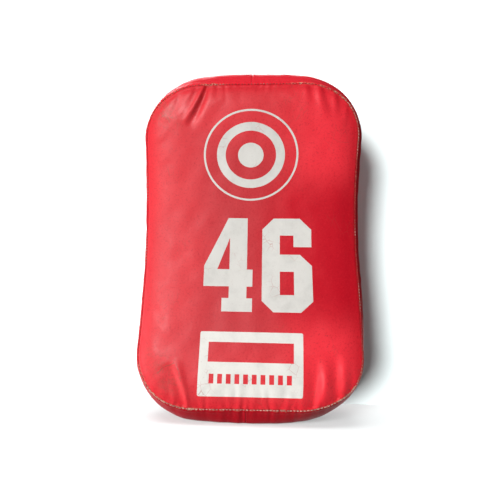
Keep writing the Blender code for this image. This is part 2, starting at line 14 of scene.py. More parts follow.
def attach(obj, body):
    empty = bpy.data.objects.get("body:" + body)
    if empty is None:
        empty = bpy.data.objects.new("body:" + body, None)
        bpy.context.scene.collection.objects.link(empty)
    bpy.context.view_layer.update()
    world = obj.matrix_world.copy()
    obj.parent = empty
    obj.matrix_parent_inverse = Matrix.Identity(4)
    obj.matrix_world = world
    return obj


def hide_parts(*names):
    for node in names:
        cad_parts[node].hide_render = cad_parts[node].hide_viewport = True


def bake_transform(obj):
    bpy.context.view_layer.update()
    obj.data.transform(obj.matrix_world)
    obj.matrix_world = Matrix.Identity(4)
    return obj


# The cushion, with the CAD part's own values
PAD_WIDTH = 0.401
PAD_LENGTH = 0.638
CORNER_RADIUS = 0.111
BEND_RADIUS = 1.22
LEAN = radians(3.0)
WAIST = 0.030
SEAM_TO_SEAM = 0.105
FRONT_CROWN = 0.011
BACK_CROWN = 0.009
FRONT_CROWN_RISE = 0.095
BACK_CROWN_RISE = 0.058
SIDE_BULGE = 0.0125
END_BULGE = 0.0275
BASE_BULGE = 0.0295
TOP_SPREAD = 0.140
BASE_SPREAD = 0.118
FOAM_SPLIT = -0.012
VINYL = 0.0015
GAP = 0.0004
ORIGIN = np.array([0.0, -0.01287, 0.30762])

HALF_T = SEAM_TO_SEAM / 2
BACK_FACE = -HALF_T - BACK_CROWN
SEAM_HALF_W = PAD_WIDTH / 2 - SIDE_BULGE
SEAM_HALF_L = (PAD_LENGTH - END_BULGE - BASE_BULGE) / 2
SEAM_CORNER = CORNER_RADIUS - SIDE_BULGE
BAND_HALF = HALF_T - 0.0019
STRAIGHT_W = SEAM_HALF_W - SEAM_CORNER
STRAIGHT_L = SEAM_HALF_L - SEAM_CORNER
QUARTER = SEAM_CORNER * pi / 2
SIDE_MIDDLE = STRAIGHT_W + QUARTER + STRAIGHT_L
PERIMETER = 4 * (STRAIGHT_W + STRAIGHT_L + QUARTER)

# The handles, with the CAD part's own values
HANDLE_X = 0.078
WEB_WIDTH = 0.038
WEB_THICKNESS = 0.0026
ANCHOR_Z = 0.086
SEWN_LENGTH = 0.040
LOOP_HEIGHT = 0.050
LOOP_FLAT_Z = 0.046
ROOT_PULL = 0.018
CREST_PULL = 0.016
PATCH_WIDTH = 0.072
PATCH_LENGTH = 0.064
PATCH_CORNER = 0.008
GRIP_WIDTH = 0.048
GRIP_DEPTH = 0.024

# The webbing is pressed one gap deeper into its patch than in the CAD part
WEB_BASE = VINYL + 2 * GAP

# The zipper and the vents, with the CAD part's own values
ZIP_S = -0.168
ZIP_LENGTH = 0.232
ZIP_SLOT_WIDTH = 0.013
TAPE_OVERRUN = 0.009
STOP_LENGTH = 0.0045
CHAIN_BASE = -0.0018
CHAIN_HEIGHT = 0.0024
SLIDER_LENGTH = 0.016
SLIDER_TOP = 0.0024
PULL_AXIS_HEIGHT = 0.0037
VENT_S = 0.135
VENT_DEPTH = -0.018
VENT_ARCS = (SIDE_MIDDLE - VENT_S, SIDE_MIDDLE + VENT_S)

SIDES = (("left", -1), ("right", 1))
ENDS = (("upper", 1), ("lower", -1))

# Where years of use have pushed the pad a little out of shape: x, s, reach, and the shift of x and of s
SHIFTS = (
    (0.165, 0.250, 0.080, 0.0030, 0.0022),
    (0.200, -0.120, 0.110, 0.0070, 0.0),
    (0.130, -0.330, 0.060, -0.0030, 0.0030),
    (-0.130, 0.290, 0.060, 0.0012, -0.0016),
    (-0.070, -0.320, 0.050, 0.0, -0.0015),
    (0.168, -0.240, 0.058, 0.0044, -0.0036),
    (-0.150, -0.262, 0.050, -0.0010, -0.0022),
)

# Where the wall is drawn flatter: x, s, reach and share
WALL_TUCKS = (
    (0.168, -0.238, 0.066, 0.42),
    (-0.150, -0.262, 0.050, 0.12),
)

# How full the cover's faces are, and how softly the lower end settles on the floor
FRONT_FULLNESS = 4.0
BACK_FULLNESS = 3.2
FLOOR_SOFTNESS = 0.0022
LIP_DIP = 0.0022
LIP_WIDTH = 0.0019

# Camera
CAMERA_PLACE = (0.0374, -0.8129, 0.1823)
CAMERA_YAW = radians(2.785)
CAMERA_PITCH = radians(8.402)
CAMERA_ROLL = radians(1.155)
FOCAL_PIXELS = 431.8
PICTURE_PIXELS = 500
SENSOR = 36.0


# Shapes of the flat pad

def outline_at(arc):
    """x, s and outward normal on the seam line, at lengths clockwise from its top centre."""
    arc = np.mod(arc, PERIMETER)
    half = np.minimum(arc, PERIMETER - arc)
    side = np.where(arc > PERIMETER / 2, -1.0, 1.0)
    first_run = STRAIGHT_W + QUARTER
    second_bend = first_run + 2 * STRAIGHT_L
    turn = np.clip((half - STRAIGHT_W) / SEAM_CORNER, 0, pi / 2)
    turn = turn + np.clip((half - second_bend) / SEAM_CORNER, 0, pi / 2)
    last_run = np.maximum(half - second_bend - QUARTER, 0)
    x = np.minimum(half, STRAIGHT_W) + SEAM_CORNER * np.sin(turn) - last_run
    s = STRAIGHT_L + SEAM_CORNER * np.cos(turn) - np.clip(half - first_run, 0, 2 * STRAIGHT_L)
    return x * side, s, np.sin(turn) * side, np.cos(turn)


def beside_seam(arc, out):
    """x and s at a distance outside the seam line."""
    x, s, normal_x, normal_s = outline_at(arc)
    return x + normal_x * out, s + normal_s * out


def nearest_seam(x, s):
    """How far inside the seam line points are, and where along it the nearest point lies."""
    past_w = np.abs(x) - STRAIGHT_W
    past_l = np.abs(s) - STRAIGHT_L
    corner = (past_w > 0) & (past_l > 0)
    away = np.where(corner, np.hypot(past_w, past_l), np.maximum(past_w, past_l))
    turn = np.where(corner, np.arctan2(np.maximum(past_w, 0), np.maximum(past_l, 1e-9)), 0.0)
    straight = np.where(past_w > past_l, SIDE_MIDDLE - np.abs(s), np.abs(x))
    upper = np.where(corner, STRAIGHT_W + SEAM_CORNER * turn, straight)
    half = np.where(s >= 0, upper, PERIMETER / 2 - upper)
    return SEAM_CORNER - away, np.where(x >= 0, half, PERIMETER - half)


def bump_at(value, centre, width):
    """1 at the centre, falling off smoothly to both sides."""
    return np.exp(-((value - centre) / width) ** 2)


def spot(x, s, at_x, at_s, reach):
    """1 at a place of the flat pad, falling off smoothly round it."""
    return np.exp(-((x - at_x) ** 2 + (s - at_s) ** 2) / reach ** 2)


def place(x, s, depth):
    """Points of the flat pad on the bent, leaning pad, which settles softly on the floor."""
    x, s, depth = np.broadcast_arrays(np.asarray(x, float), np.asarray(s, float), np.asarray(depth, float))
    shift_x = sum(spot(x, s, *where) * by_x for *where, by_x, _ in SHIFTS)
    shift_s = sum(spot(x, s, *where) * by_s for *where, _, by_s in SHIFTS)
    x = x + shift_x
    s = s + shift_s
    reach = BEND_RADIUS - depth
    y = reach * np.cos(s / BEND_RADIUS) - BEND_RADIUS
    z = reach * np.sin(s / BEND_RADIUS)
    drawn = 1 - WAIST * np.cos(np.clip(np.abs(s), 0, PAD_LENGTH / 2) * pi / PAD_LENGTH) ** 2
    points = np.stack((x * drawn, y * cos(LEAN) - z * sin(LEAN), y * sin(LEAN) + z * cos(LEAN)), axis=-1)
    points = points + ORIGIN
    points[..., 2] = FLOOR_SOFTNESS * np.logaddexp(0, points[..., 2] / FLOOR_SOFTNESS)
    return points


def local_frame(x, s):
    """A frame on the pad's back face: X to the right, Y out of it, Z along the pad."""
    step = 0.0005
    low, here, high = (Vector(place(x, s + shift, BACK_FACE)) for shift in (-step, 0, step))
    up = (high - low).normalized()
    across = Vector((1, 0, 0))
    frame = Matrix((across, -across.cross(up), up)).transposed().to_4x4()
    frame.translation = here
    return frame


def rise(inset, height, span, fullness):
    """How far a panel stands proud of its seam, inset from it."""
    left = 1 - np.clip(inset / span, 0, 1)
    return height * (1 - left ** fullness)


def lip(inset):
    """How far the cloth dips into the groove of its seam."""
    return LIP_DIP * np.exp(-(np.maximum(inset, 0) / LIP_WIDTH) ** 1.5)


def waves(x, s, size, seed):
    """Smooth random heights of about -1 to 1, with features of that size."""
    rng = np.random.default_rng(seed)
    count = 12
    total = np.zeros(np.shape(x))
    for _ in range(count):
        heading = rng.uniform(0, 2 * pi)
        rate = 2 * pi / size * rng.uniform(0.55, 1.45)
        total = total + np.sin((x * cos(heading) + s * sin(heading)) * rate + rng.uniform(0, 2 * pi))
    return total * sqrt(2 / count) / 1.6


# Puckers and folds

def pucker_marks(seed):
    """Rows of (arc, depth, width, length on the panel, length on the band, slant) of the seam's puckers."""
    rng = np.random.default_rng(seed)
    marks = []
    arc = 0.004
    while arc < PERIMETER - 0.006:
        half = min(arc, PERIMETER - arc)
        low = bump_at(half, PERIMETER / 2, 0.15)
        at_end = max(bump_at(half, 0, 0.13), low)
        calm = 1 - 0.65 * bump_at(arc, PERIMETER - 0.085, 0.030)
        depth = (0.00022 + 0.0010 * at_end) * rng.uniform(0.35, 1.25) * calm
        width = rng.uniform(0.0018, 0.0042)
        reach = rng.uniform(0.005, 0.012) + 0.024 * at_end * rng.uniform(0, 1) ** 2
        on_band = rng.uniform(0.006, 0.018) * (1 + 1.2 * low)
        marks.append((arc, depth * (1 + 0.8 * low), width, reach, on_band, rng.uniform(-0.25, 0.25)))
        arc += rng.uniform(0.009, 0.017) + 0.012 * (1 - at_end) * rng.uniform(0, 1)
    return marks


FRONT_PUCKERS = pucker_marks(11)
BACK_PUCKERS = pucker_marks(29)


def puckers(arc, away, marks, on_band=False):
    """Depth of the puckers at points along a seam and away from it."""
    total = np.zeros(np.shape(arc))
    for at, depth, width, on_panel, on_wall, slant in marks:
        reach = on_wall if on_band else on_panel
        lean = 0 if on_band else slant
        off = np.mod(arc - at - lean * away + PERIMETER / 2, PERIMETER) - PERIMETER / 2
        close = np.abs(off) < 3 * width + 0.02
        inward = np.maximum(away[close], 0)
        spread = width * (1 + 0.8 * inward / reach)
        total[close] += depth * bump_at(off[close], 0, spread) * np.exp(-(inward / reach) ** 1.6)
    return total


def along_line(x, s, points):
    """Distance from a line of points, signed, and the share of its length at the nearest point."""
    lengths = [hypot(bx - ax, b_s - a_s) for (ax, a_s), (bx, b_s) in zip(points, points[1:])]
    best = np.full(np.shape(x), 1e9)
    off = np.zeros(np.shape(x))
    share = np.zeros(np.shape(x))
    done = 0.0
    for (ax, a_s), (bx, b_s), length in zip(points, points[1:], lengths):
        run_x = (bx - ax) / length
        run_s = (b_s - a_s) / length
        along = np.clip((x - ax) * run_x + (s - a_s) * run_s, 0, length)
        gap_x = x - ax - run_x * along
        gap_s = s - a_s - run_s * along
        gap = np.hypot(gap_x, gap_s)
        closer = gap < best
        best = np.where(closer, gap, best)
        off = np.where(closer, np.sign(gap_x * run_s - gap_s * run_x) * gap, off)
        share = np.where(closer, (done + along) / sum(lengths), share)
        done += length
    return off, share


# Folds of the front panel, in millimetres: width, height, how slack, how lipped, and points from the
# seam inwards
FRONT_FOLDS = (
    (2.8, -5.2, 1.5, 0.45, (-79, 288), (-86, 266), (-97, 240), (-112, 213)),
    (3.6, -1.2, 0.8, 0.35, (-98, 284), (-104, 264), (-112, 246)),
    (3.2, -0.4, 0.8, 0.35, (-60, 289), (-61, 274), (-64, 260)),
    (3.6, -0.8, 0.8, 0.35, (-128, 270), (-132, 256), (-139, 242)),
    (4.0, -5.0, 1.9, 0.5, (-100, -290), (-106, -270), (-118, -244), (-133, -216)),
    (4.2, -1.5, 0.8, 0.35, (-122, -278), (-130, -257), (-140, -238)),
    (4.2, -1.1, 0.8, 0.35, (-78, -289), (-82, -270), (-88, -252)),
    (6.6, -5.6, 0.8, 0.35, (108, -288), (110, -264), (112, -230), (110, -197)),
    (6.0, -5.6, 0.8, 0.35, (146, -272), (143, -250), (141, -218), (139, -190)),
    (5.0, -1.4, 0.8, 0.35, (168, -250), (165, -230), (162, -202)),
    (4.4, -1.8, 0.8, 0.35, (100, 289), (104, 270), (112, 250)),
    (5.4, -2.7, 0.8, 0.35, (124, 283), (128, 264), (137, 242), (142, 222)),
    (4.6, -2.2, 0.8, 0.35, (149, 268), (152, 250), (157, 224)),
    (4.2, -1.0, 0.8, 0.35, (168, 246), (168, 226), (166, 200)),
    (3.0, -0.9, 0.8, 0.35, (-15, -289), (-17, -264), (-20, -230)),
    (3.4, -0.8, 0.8, 0.35, (24, -289), (24, -268), (22, -242)),
    (3.4, -0.8, 0.8, 0.35, (62, -289), (64, -272), (66, -252)),
)


def folds(x, s):
    """Height of the creases, each steep on its left with a raised lip, and slack on its right."""
    total = np.zeros(np.shape(x))
    for width, height, slack, shoulder, *points in FRONT_FOLDS:
        off, share = along_line(x, s, [(at_x / 1000, at_s / 1000) for at_x, at_s in points])
        spread = width / 1000 * (0.75 + 0.9 * share) * np.where(off < 0, 1 + slack, 1)
        keep = np.sin(pi * np.clip(0.18 + 0.82 * share, 0, 1)) ** 0.8
        sides = bump_at(off, 2.1 * spread, 1.1 * spread)
        total = total + height / 1000 * keep * (bump_at(off, 0, spread) - shoulder * sides)
    return total


# Gathers of the front panel, from a cloth simulation of it

SHEET_STEP = 0.0065
SHEET_FRAMES = 22
SHEET_EXCESS = 0.015
MAP_CELL = 0.0025
MAP_SIZE = (244, 164)
GATHER_SCALE = 0.42
GATHER_LIMIT = 0.0018
CLOTH = {
    "quality": 6, "mass": 0.25, "tension_stiffness": 40, "compression_stiffness": 25, "shear_stiffness": 8,
    "bending_stiffness": 1.5, "tension_damping": 20, "compression_damping": 20, "shear_damping": 10,
    "bending_damping": 1.0, "vertex_group_mass": "held", "use_pressure": True,
    "uniform_pressure_force": 1.0, "shrink_min": -SHEET_EXCESS,
}


def added(name, data):
    """A new object in the scene."""
    made = bpy.data.objects.new(name, data)
    bpy.context.scene.collection.objects.link(made)
    return made


def sheet_mesh():
    """Points and triangles of the front panel before it is pressed out, and which points the seam holds."""
    count = round(PERIMETER / SHEET_STEP)
    edge_x, edge_s, _, _ = outline_at((np.arange(count) + 0.5) * PERIMETER / count)
    rng = np.random.default_rng(17)
    x, s = np.meshgrid(np.arange(-SEAM_HALF_W, SEAM_HALF_W, SHEET_STEP),
                       np.arange(-SEAM_HALF_L, SEAM_HALF_L, SHEET_STEP))
    x = x.ravel() + rng.uniform(-0.2, 0.2, x.size) * SHEET_STEP
    s = s.ravel() + rng.uniform(-0.2, 0.2, s.size) * SHEET_STEP
    kept = nearest_seam(x, s)[0] > 0.7 * SHEET_STEP
    flat = [Vector(point) for point in zip((*edge_x, *x[kept]), (*edge_s, *s[kept]))]
    points, _, triangles, *_ = delaunay_2d_cdt(flat, [], [list(range(count))], 1, 1e-7)
    points = np.array(points)
    inset = nearest_seam(points[:, 0], points[:, 1])[0]
    height = rise(inset, FRONT_CROWN, FRONT_CROWN_RISE, FRONT_FULLNESS)
    return np.column_stack((points, height)), np.array(triangles), np.nonzero(inset < 0.2 * SHEET_STEP)[0]


def pressed_out(points, triangles, held):
    """The sheet's points after a cloth simulation: cut slightly too large, held at its seam, blown up."""
    mesh = bpy.data.meshes.new("sheet")
    mesh.from_pydata(points.tolist(), [], triangles.tolist())
    sheet = added("sheet", mesh)
    sheet.vertex_groups.new(name="held").add(held.tolist(), 1.0, "REPLACE")
    modifier = sheet.modifiers.new("cloth", "CLOTH")
    modifier.collision_settings.use_collision = False
    modifier.settings.effector_weights.gravity = 0
    for key, value in CLOTH.items():
        setattr(modifier.settings, key, value)
    for step in range(1, SHEET_FRAMES + 1):
        bpy.context.scene.frame_set(step)
    settled = sheet.evaluated_get(bpy.context.evaluated_depsgraph_get())
    moved = np.array([vertex.co[:] for vertex in settled.to_mesh().vertices])
    settled.to_mesh_clear()
    bpy.data.objects.remove(sheet)
    bpy.data.meshes.remove(mesh)
    bpy.context.scene.frame_set(1)
    return moved


def blurred(values, cells):
    """Values on a grid, averaged over that many cells."""
    reach = int(3 * cells)
    share = np.exp(-(np.arange(-reach, reach + 1) / cells) ** 2 / 2)
    share = share / share.sum()
    for axis in (0, 1):
        values = np.apply_along_axis(lambda row: np.convolve(row, share, "same"), axis, values)
    return values


def gather_map():
    """Heights of the gathers on a grid: the simulated sheet less its own broad swell."""
    total = np.zeros(MAP_SIZE)
    count = np.zeros(MAP_SIZE)
    points, triangles, held = sheet_mesh()
    heights = pressed_out(points, triangles, held)[:, 2]
    corners = points[triangles][:, :, :2]
    parts = 5
    for i in range(parts + 1):
        for j in range(parts + 1 - i):
            share = np.array([i, j, parts - i - j]) / parts
            where = np.tensordot(corners, share, axes=([1], [0]))
            cell = np.floor(where[:, ::-1] / MAP_CELL + np.array(MAP_SIZE) / 2).astype(int)
            np.add.at(total, (cell[:, 0], cell[:, 1]), heights[triangles] @ share)
            np.add.at(count, (cell[:, 0], cell[:, 1]), 1)
    filled = (count > 0) * 1.0
    heights = total / np.maximum(count, 1)
    fine, broad = (blurred(heights, cells) / np.maximum(blurred(filled, cells), 0.001)
                   for cells in (1.2, 9.0))
    return GATHER_LIMIT * np.tanh(filled * (fine - broad) * GATHER_SCALE / GATHER_LIMIT)


GATHERS = gather_map()


def gathers(x, s):
    """Height of the gathers at points, strongest near the seam and at the pad's ends."""
    row = np.clip(s / MAP_CELL + MAP_SIZE[0] / 2 - 0.5, 0, MAP_SIZE[0] - 1.001)
    column = np.clip(x / MAP_CELL + MAP_SIZE[1] / 2 - 0.5, 0, MAP_SIZE[1] - 1.001)
    low = row.astype(int)
    left = column.astype(int)
    up = row - low
    along = column - left
    height = (GATHERS[low, left] * (1 - up) * (1 - along) + GATHERS[low + 1, left] * up * (1 - along)
              + GATHERS[low, left + 1] * (1 - up) * along + GATHERS[low + 1, left + 1] * up * along)
    end = np.clip((np.abs(s) - 0.08) / 0.12, 0.15, 1)
    return height * end * (0.15 + 0.85 * bump_at(np.maximum(nearest_seam(x, s)[0], 0), 0, 0.055))


def front_depth(x, s):
    """Depth of the front panel's surface."""
    inset, arc = nearest_seam(x, s)
    depth = HALF_T + rise(inset, FRONT_CROWN, FRONT_CROWN_RISE, FRONT_FULLNESS) - lip(inset)
    depth = depth - puckers(arc, inset, FRONT_PUCKERS) + gathers(x, s) * np.clip(inset / 0.006, 0, 1)
    settled = np.clip(inset / 0.05, 0, 1)
    depth = depth + settled * (0.0006 * waves(x, s, 0.16, 3) + 0.00022 * waves(x, s, 0.05, 4))
    return depth + folds(x, s) * np.clip(inset / 0.004, 0.25, 1)


def back_depth(x, s):
    """Depth of the back panel's surface, below 0."""
    inset, arc = nearest_seam(x, s)
    height = rise(inset, BACK_CROWN, BACK_CROWN_RISE, BACK_FULLNESS) - lip(inset)
    settled = np.clip((inset - 0.02) / 0.04, 0, 1)
    height = height - puckers(arc, inset, BACK_PUCKERS) + settled * 0.00025 * (waves(x, s, 0.12, 5) - 1)
    return -HALF_T - height


def wall_point(arc, depth, out=0.0):
    """Points of the wall round the pad at lengths along the seam line and depths through the pad."""
    x, s, normal_x, normal_s = outline_at(arc)
    share = np.clip(np.abs(depth) / BAND_HALF, 0, 1)
    end = END_BULGE + (BASE_BULGE - END_BULGE) * (1 - s / SEAM_HALF_L) / 2
    flat = np.where(s > 0, np.exp(-np.abs(x / TOP_SPREAD) ** 3), bump_at(x, 0, BASE_SPREAD))
    bulge = (SIDE_BULGE + (end - SIDE_BULGE) * flat) * (1 - share ** 2)
    for *where, drawn in WALL_TUCKS:
        bulge = bulge * (1 - drawn * spot(x, s, *where))
    return place(x + normal_x * (bulge + out), s + normal_s * (bulge + out), depth)


# Mesh making

class Shape:
    """A mesh in the making."""

    def __init__(self):
        self.verts = []
        self.faces = []

    def skin(self, rings, closed=True, looped=False, capped=False, flip=False):
        """Joins rings of points, each to the next. A ring of one point is a pole; flip turns the faces."""
        rows = []
        for ring in rings:
            rows.append((len(self.verts), len(ring)))
            self.verts += [tuple(point) for point in ring]
        faces = []
        for (low, below), (high, above) in zip(rows, rows[1:] + rows[:1] * looped):
            size = max(below, above)
            for i in range(size if closed else size - 1):
                j = (i + 1) % size
                if below == 1:
                    faces.append((low, high + j, high + i))
                elif above == 1:
                    faces.append((low + i, low + j, high))
                else:
                    faces.append((low + i, low + j, high + j, high + i))
        if capped:
            (first, size), (last, _) = rows[0], rows[-1]
            faces.append(tuple(range(first, first + size))[::-1])
            faces.append(tuple(range(last, last + size)))
        self.faces += [face[::-1] for face in faces] if flip else faces
        return self

    def block(self, frame, low, high, chamfer):
        """A block between two corners of a frame, with chamfered edges all round its top and bottom."""
        rings = []
        cut = chamfer * 0.8
        foot = ((low[1], chamfer), (low[1] + chamfer, 0))
        head = ((high[1] - chamfer, 0), (high[1], chamfer))
        for y, inward in foot + head:
            x0, z0, x1, z1 = low[0] + inward, low[2] + inward, high[0] - inward, high[2] - inward
            corners = ((x0 + cut, z0), (x1 - cut, z0), (x1, z0 + cut), (x1, z1 - cut),
                       (x1 - cut, z1), (x0 + cut, z1), (x0, z1 - cut), (x0, z0 + cut))
            rings.append([frame @ Vector((x, y, z)) for x, z in corners])
        return self.skin(rings, capped=True, flip=True)

    def stitch(self, start, end, up, radius):
        """One rounded stitch from start to end, with its ends drawn into the cover."""
        run = end - start
        side = up.cross(run).normalized()
        bury = 1.2 * radius
        rings = []
        for share, size in ((0.0, 0.45), (0.10, 0.85), (0.30, 1.0), (0.70, 1.0), (0.90, 0.85), (1.0, 0.45)):
            middle = start + run * share - up * (bury * (2 * share - 1) ** 4)
            turns = [corner * pi / 3 for corner in range(6)]
            rings.append([middle + (side * cos(turn) + up * sin(turn)) * radius * size for turn in turns])
        return self.skin(rings, capped=True)

    def finished(self, name, looks, sharp=None, marks=None):
        """The smooth-shaded object, with its materials, its sharp edges and its point attributes."""
        mesh = bpy.data.meshes.new(name)
        mesh.from_pydata(self.verts, [], self.faces)
        mesh.shade_smooth()
        if sharp:
            mesh.set_sharp_from_angle(angle=radians(sharp))
        for finish in looks if isinstance(looks, list) else [looks]:
            mesh.materials.append(finish)
        for key, values in (marks or {}).items():
            field = mesh.attributes.new(key, "FLOAT", "POINT")
            field.data.foreach_set("value", np.asarray(values, np.float32).ravel())
        return added(name, mesh)


def inside(x, s, loop):
    """Which points lie inside a loop of corners."""
    result = np.zeros(np.shape(x), bool)
    for (ax, a_s), (bx, b_s) in zip(loop, loop[1:] + loop[:1]):
        if a_s != b_s:
            result ^= ((a_s > s) != (b_s > s)) & (x < ax + (s - a_s) / (b_s - a_s) * (bx - ax))
    return result


def cut_edges(loop, count_for):
    """The loop's edges cut into even steps, as many as count_for gives for an edge's length."""
    points = []
    for (ax, a_s), (bx, b_s) in zip(loop, loop[1:] + loop[:1]):
        count = count_for(hypot(bx - ax, b_s - a_s))
        points += [(ax + (bx - ax) * i / count, a_s + (b_s - a_s) * i / count) for i in range(count)]
    return points


def even_steps(loop, step):
    """The loop's edges cut into steps of about that length."""
    return cut_edges(loop, lambda length: max(1, round(length / step)))


def ring_loop(x, s, radius):
    """A loop round a circle."""
    turns = [2 * pi * i / 96 for i in range(96)]
    return [(x + radius * cos(turn), s + radius * sin(turn)) for turn in turns]


def rectangle(left, top, right, bottom, radius=0.0, steps=4):
    """A loop round a rectangle with corners of that radius."""
    if radius == 0:
        return [(left, bottom), (right, bottom), (right, top), (left, top)]
    loop = []
    for corner, (x, s) in enumerate(((right - radius, top - radius), (left + radius, top - radius),
                                     (left + radius, bottom + radius), (right - radius, bottom + radius))):
        for step in range(steps + 1):
            angle = (corner + step / steps) * pi / 2
            loop.append((x + radius * cos(angle), s + radius * sin(angle)))
    return loop


# The print: a plain ring target, the plain number 46 and a plain panel with a bar and squares

TARGET = (0.0005, 0.1606)
TARGET_RINGS = (0.0835, 0.0800, 0.0600, 0.0445, 0.0225)
DIGIT_TOP = 0.0446
DIGIT_HEIGHT = 0.170
DIGIT_WIDTH = 0.0860
DIGIT_STROKE = 0.0310
DIGIT_BEVEL = 0.020
FOUR_LEFT = -0.0795
FOUR_BAR = 0.094
FOUR_FOOT = 0.024
SIX_LEFT = 0.0230
SIX_BAR = 0.066
LABEL_BOX = (-0.0800, -0.1610, 0.0920, -0.2700)
LABEL_CORNER = 0.003
LABEL_BORDER = 0.015
LABEL_SQUARES = 10


def four():
    """The outline and the opening of a block figure 4."""
    w, h, k, bar, foot = DIGIT_WIDTH, DIGIT_HEIGHT, DIGIT_STROKE, FOUR_BAR, DIGIT_HEIGHT - FOUR_FOOT
    stem = w - k - 0.010
    outer = [(0.042, 0), (stem + k, 0), (stem + k, bar), (w, bar), (w, bar + k), (stem + k, bar + k),
             (stem + k, foot), (w, foot), (w, h), (stem - 0.012, h), (stem - 0.012, foot),
             (stem, foot), (stem, bar + k), (0, bar + k), (0, 0.088)]
    hole = [(stem, 0.036), (stem, bar), (0.0235, bar)]
    return [[(FOUR_LEFT + x, DIGIT_TOP - y) for x, y in loop] for loop in (outer, hole)]


def six():
    """The outline and the opening of a block figure 6."""
    w, h, k, c, bar = DIGIT_WIDTH, DIGIT_HEIGHT, DIGIT_STROKE, DIGIT_BEVEL, SIX_BAR
    outer = [(c, 0), (w - c, 0), (w, c), (w, 0.052), (w - k, 0.052), (w - k, k), (k, k), (k, bar),
             (w - c, bar), (w, bar + c), (w, h - c), (w - c, h), (c, h), (0, h - c), (0, c)]
    hole = [(k, bar + k), (w - k, bar + k), (w - k, h - k), (k, h - k)]
    return [[(SIX_LEFT + x, DIGIT_TOP - y) for x, y in loop] for loop in (outer, hole)]


def label_marks():
    """The loops that stay red on the plain panel: a bar, and a row of squares."""
    left, top, right, _ = LABEL_BOX
    left += LABEL_BORDER
    right -= LABEL_BORDER
    loops = [rectangle(left, top - 0.018, right, top - 0.052)]
    pitch = (right - left) / LABEL_SQUARES
    for number in range(LABEL_SQUARES):
        start = left + pitch * (number + 0.22)
        loops.append(rectangle(start, top - 0.072, start + pitch * 0.56, top - 0.088))
    return loops


LABEL = rectangle(*LABEL_BOX, LABEL_CORNER)
PRINT_LOOPS = [ring_loop(*TARGET, radius) for radius in TARGET_RINGS]
PRINT_LOOPS += [*four(), *six(), LABEL, *label_marks()]


# Wear on the front seam: middle along it, half length and strength
SEAM_WEAR = (
    (0.086, 0.016, 1.0), (0.165, 0.060, 0.85), (0.30, 0.08, 0.45), (0.47, 0.10, 0.20), (0.70, 0.070, 0.95),
    (0.815, 0.030, 0.50), (0.90, 0.060, 0.25), (0.965, 0.020, 0.9), (1.03, 0.060, 0.95), (1.20, 0.06, 0.10),
    (1.57, 0.050, 0.45), (1.675, 0.018, 1.0),
)

# Scuffs of the front panel: x, s, radius and strength
SCUFFS = (
    (-0.150, 0.238, 0.022, 0.95), (-0.136, 0.214, 0.016, 0.45), (-0.142, -0.222, 0.028, 0.60),
    (-0.128, -0.250, 0.018, 0.80), (-0.160, -0.205, 0.018, 0.50), (0.150, -0.245, 0.014, 0.25),
)

# Scratches of the front panel: points, width and strength
SCUFF_LINES = (
    (((-0.1475, -0.2343), (-0.138, -0.2230), (-0.1166, -0.2153)), 0.0009, 0.9),
    (((-0.1166, -0.2153), (-0.1110, -0.2300), (-0.1075, -0.2468)), 0.0009, 0.8),
    (((-0.166, 0.226), (-0.152, 0.236), (-0.139, 0.229)), 0.0008, 0.8),
    (((-0.158, 0.246), (-0.149, 0.231), (-0.144, 0.219)), 0.0008, 0.7),
)


def seam_wear(arc):
    """How rubbed the cover is along its front seam."""
    arc = np.mod(arc, PERIMETER)
    return np.max([strength * bump_at(arc, middle, half) for middle, half, strength in SEAM_WEAR], axis=0)


def grime_at(x, s):
    """How scuffed and soiled the front panel is."""
    return np.max([strength * spot(x, s, *where) for *where, strength in SCUFFS], axis=0)


PANEL_STEP = 0.0032
PANEL_ARC_STEP = 0.0022
PANEL_INSETS = (0, 0.0006, 0.0013, 0.0021, 0.0031, 0.0044, 0.006, 0.008, 0.0103, 0.013, 0.016, 0.0195, 0.0235)


def inner_grid():
    """An even grid of points over the middle of a panel."""
    rows = np.arange(-SEAM_HALF_L, SEAM_HALF_L, PANEL_STEP * 0.866)
    x, s = np.meshgrid(np.arange(-SEAM_HALF_W, SEAM_HALF_W, PANEL_STEP), rows)
    x = x + (np.arange(len(rows)) % 2)[:, None] * PANEL_STEP / 2
    grid = np.stack((x.ravel(), s.ravel()), -1)
    return grid[nearest_seam(grid[:, 0], grid[:, 1])[0] > PANEL_INSETS[-1] + PANEL_STEP * 0.7]


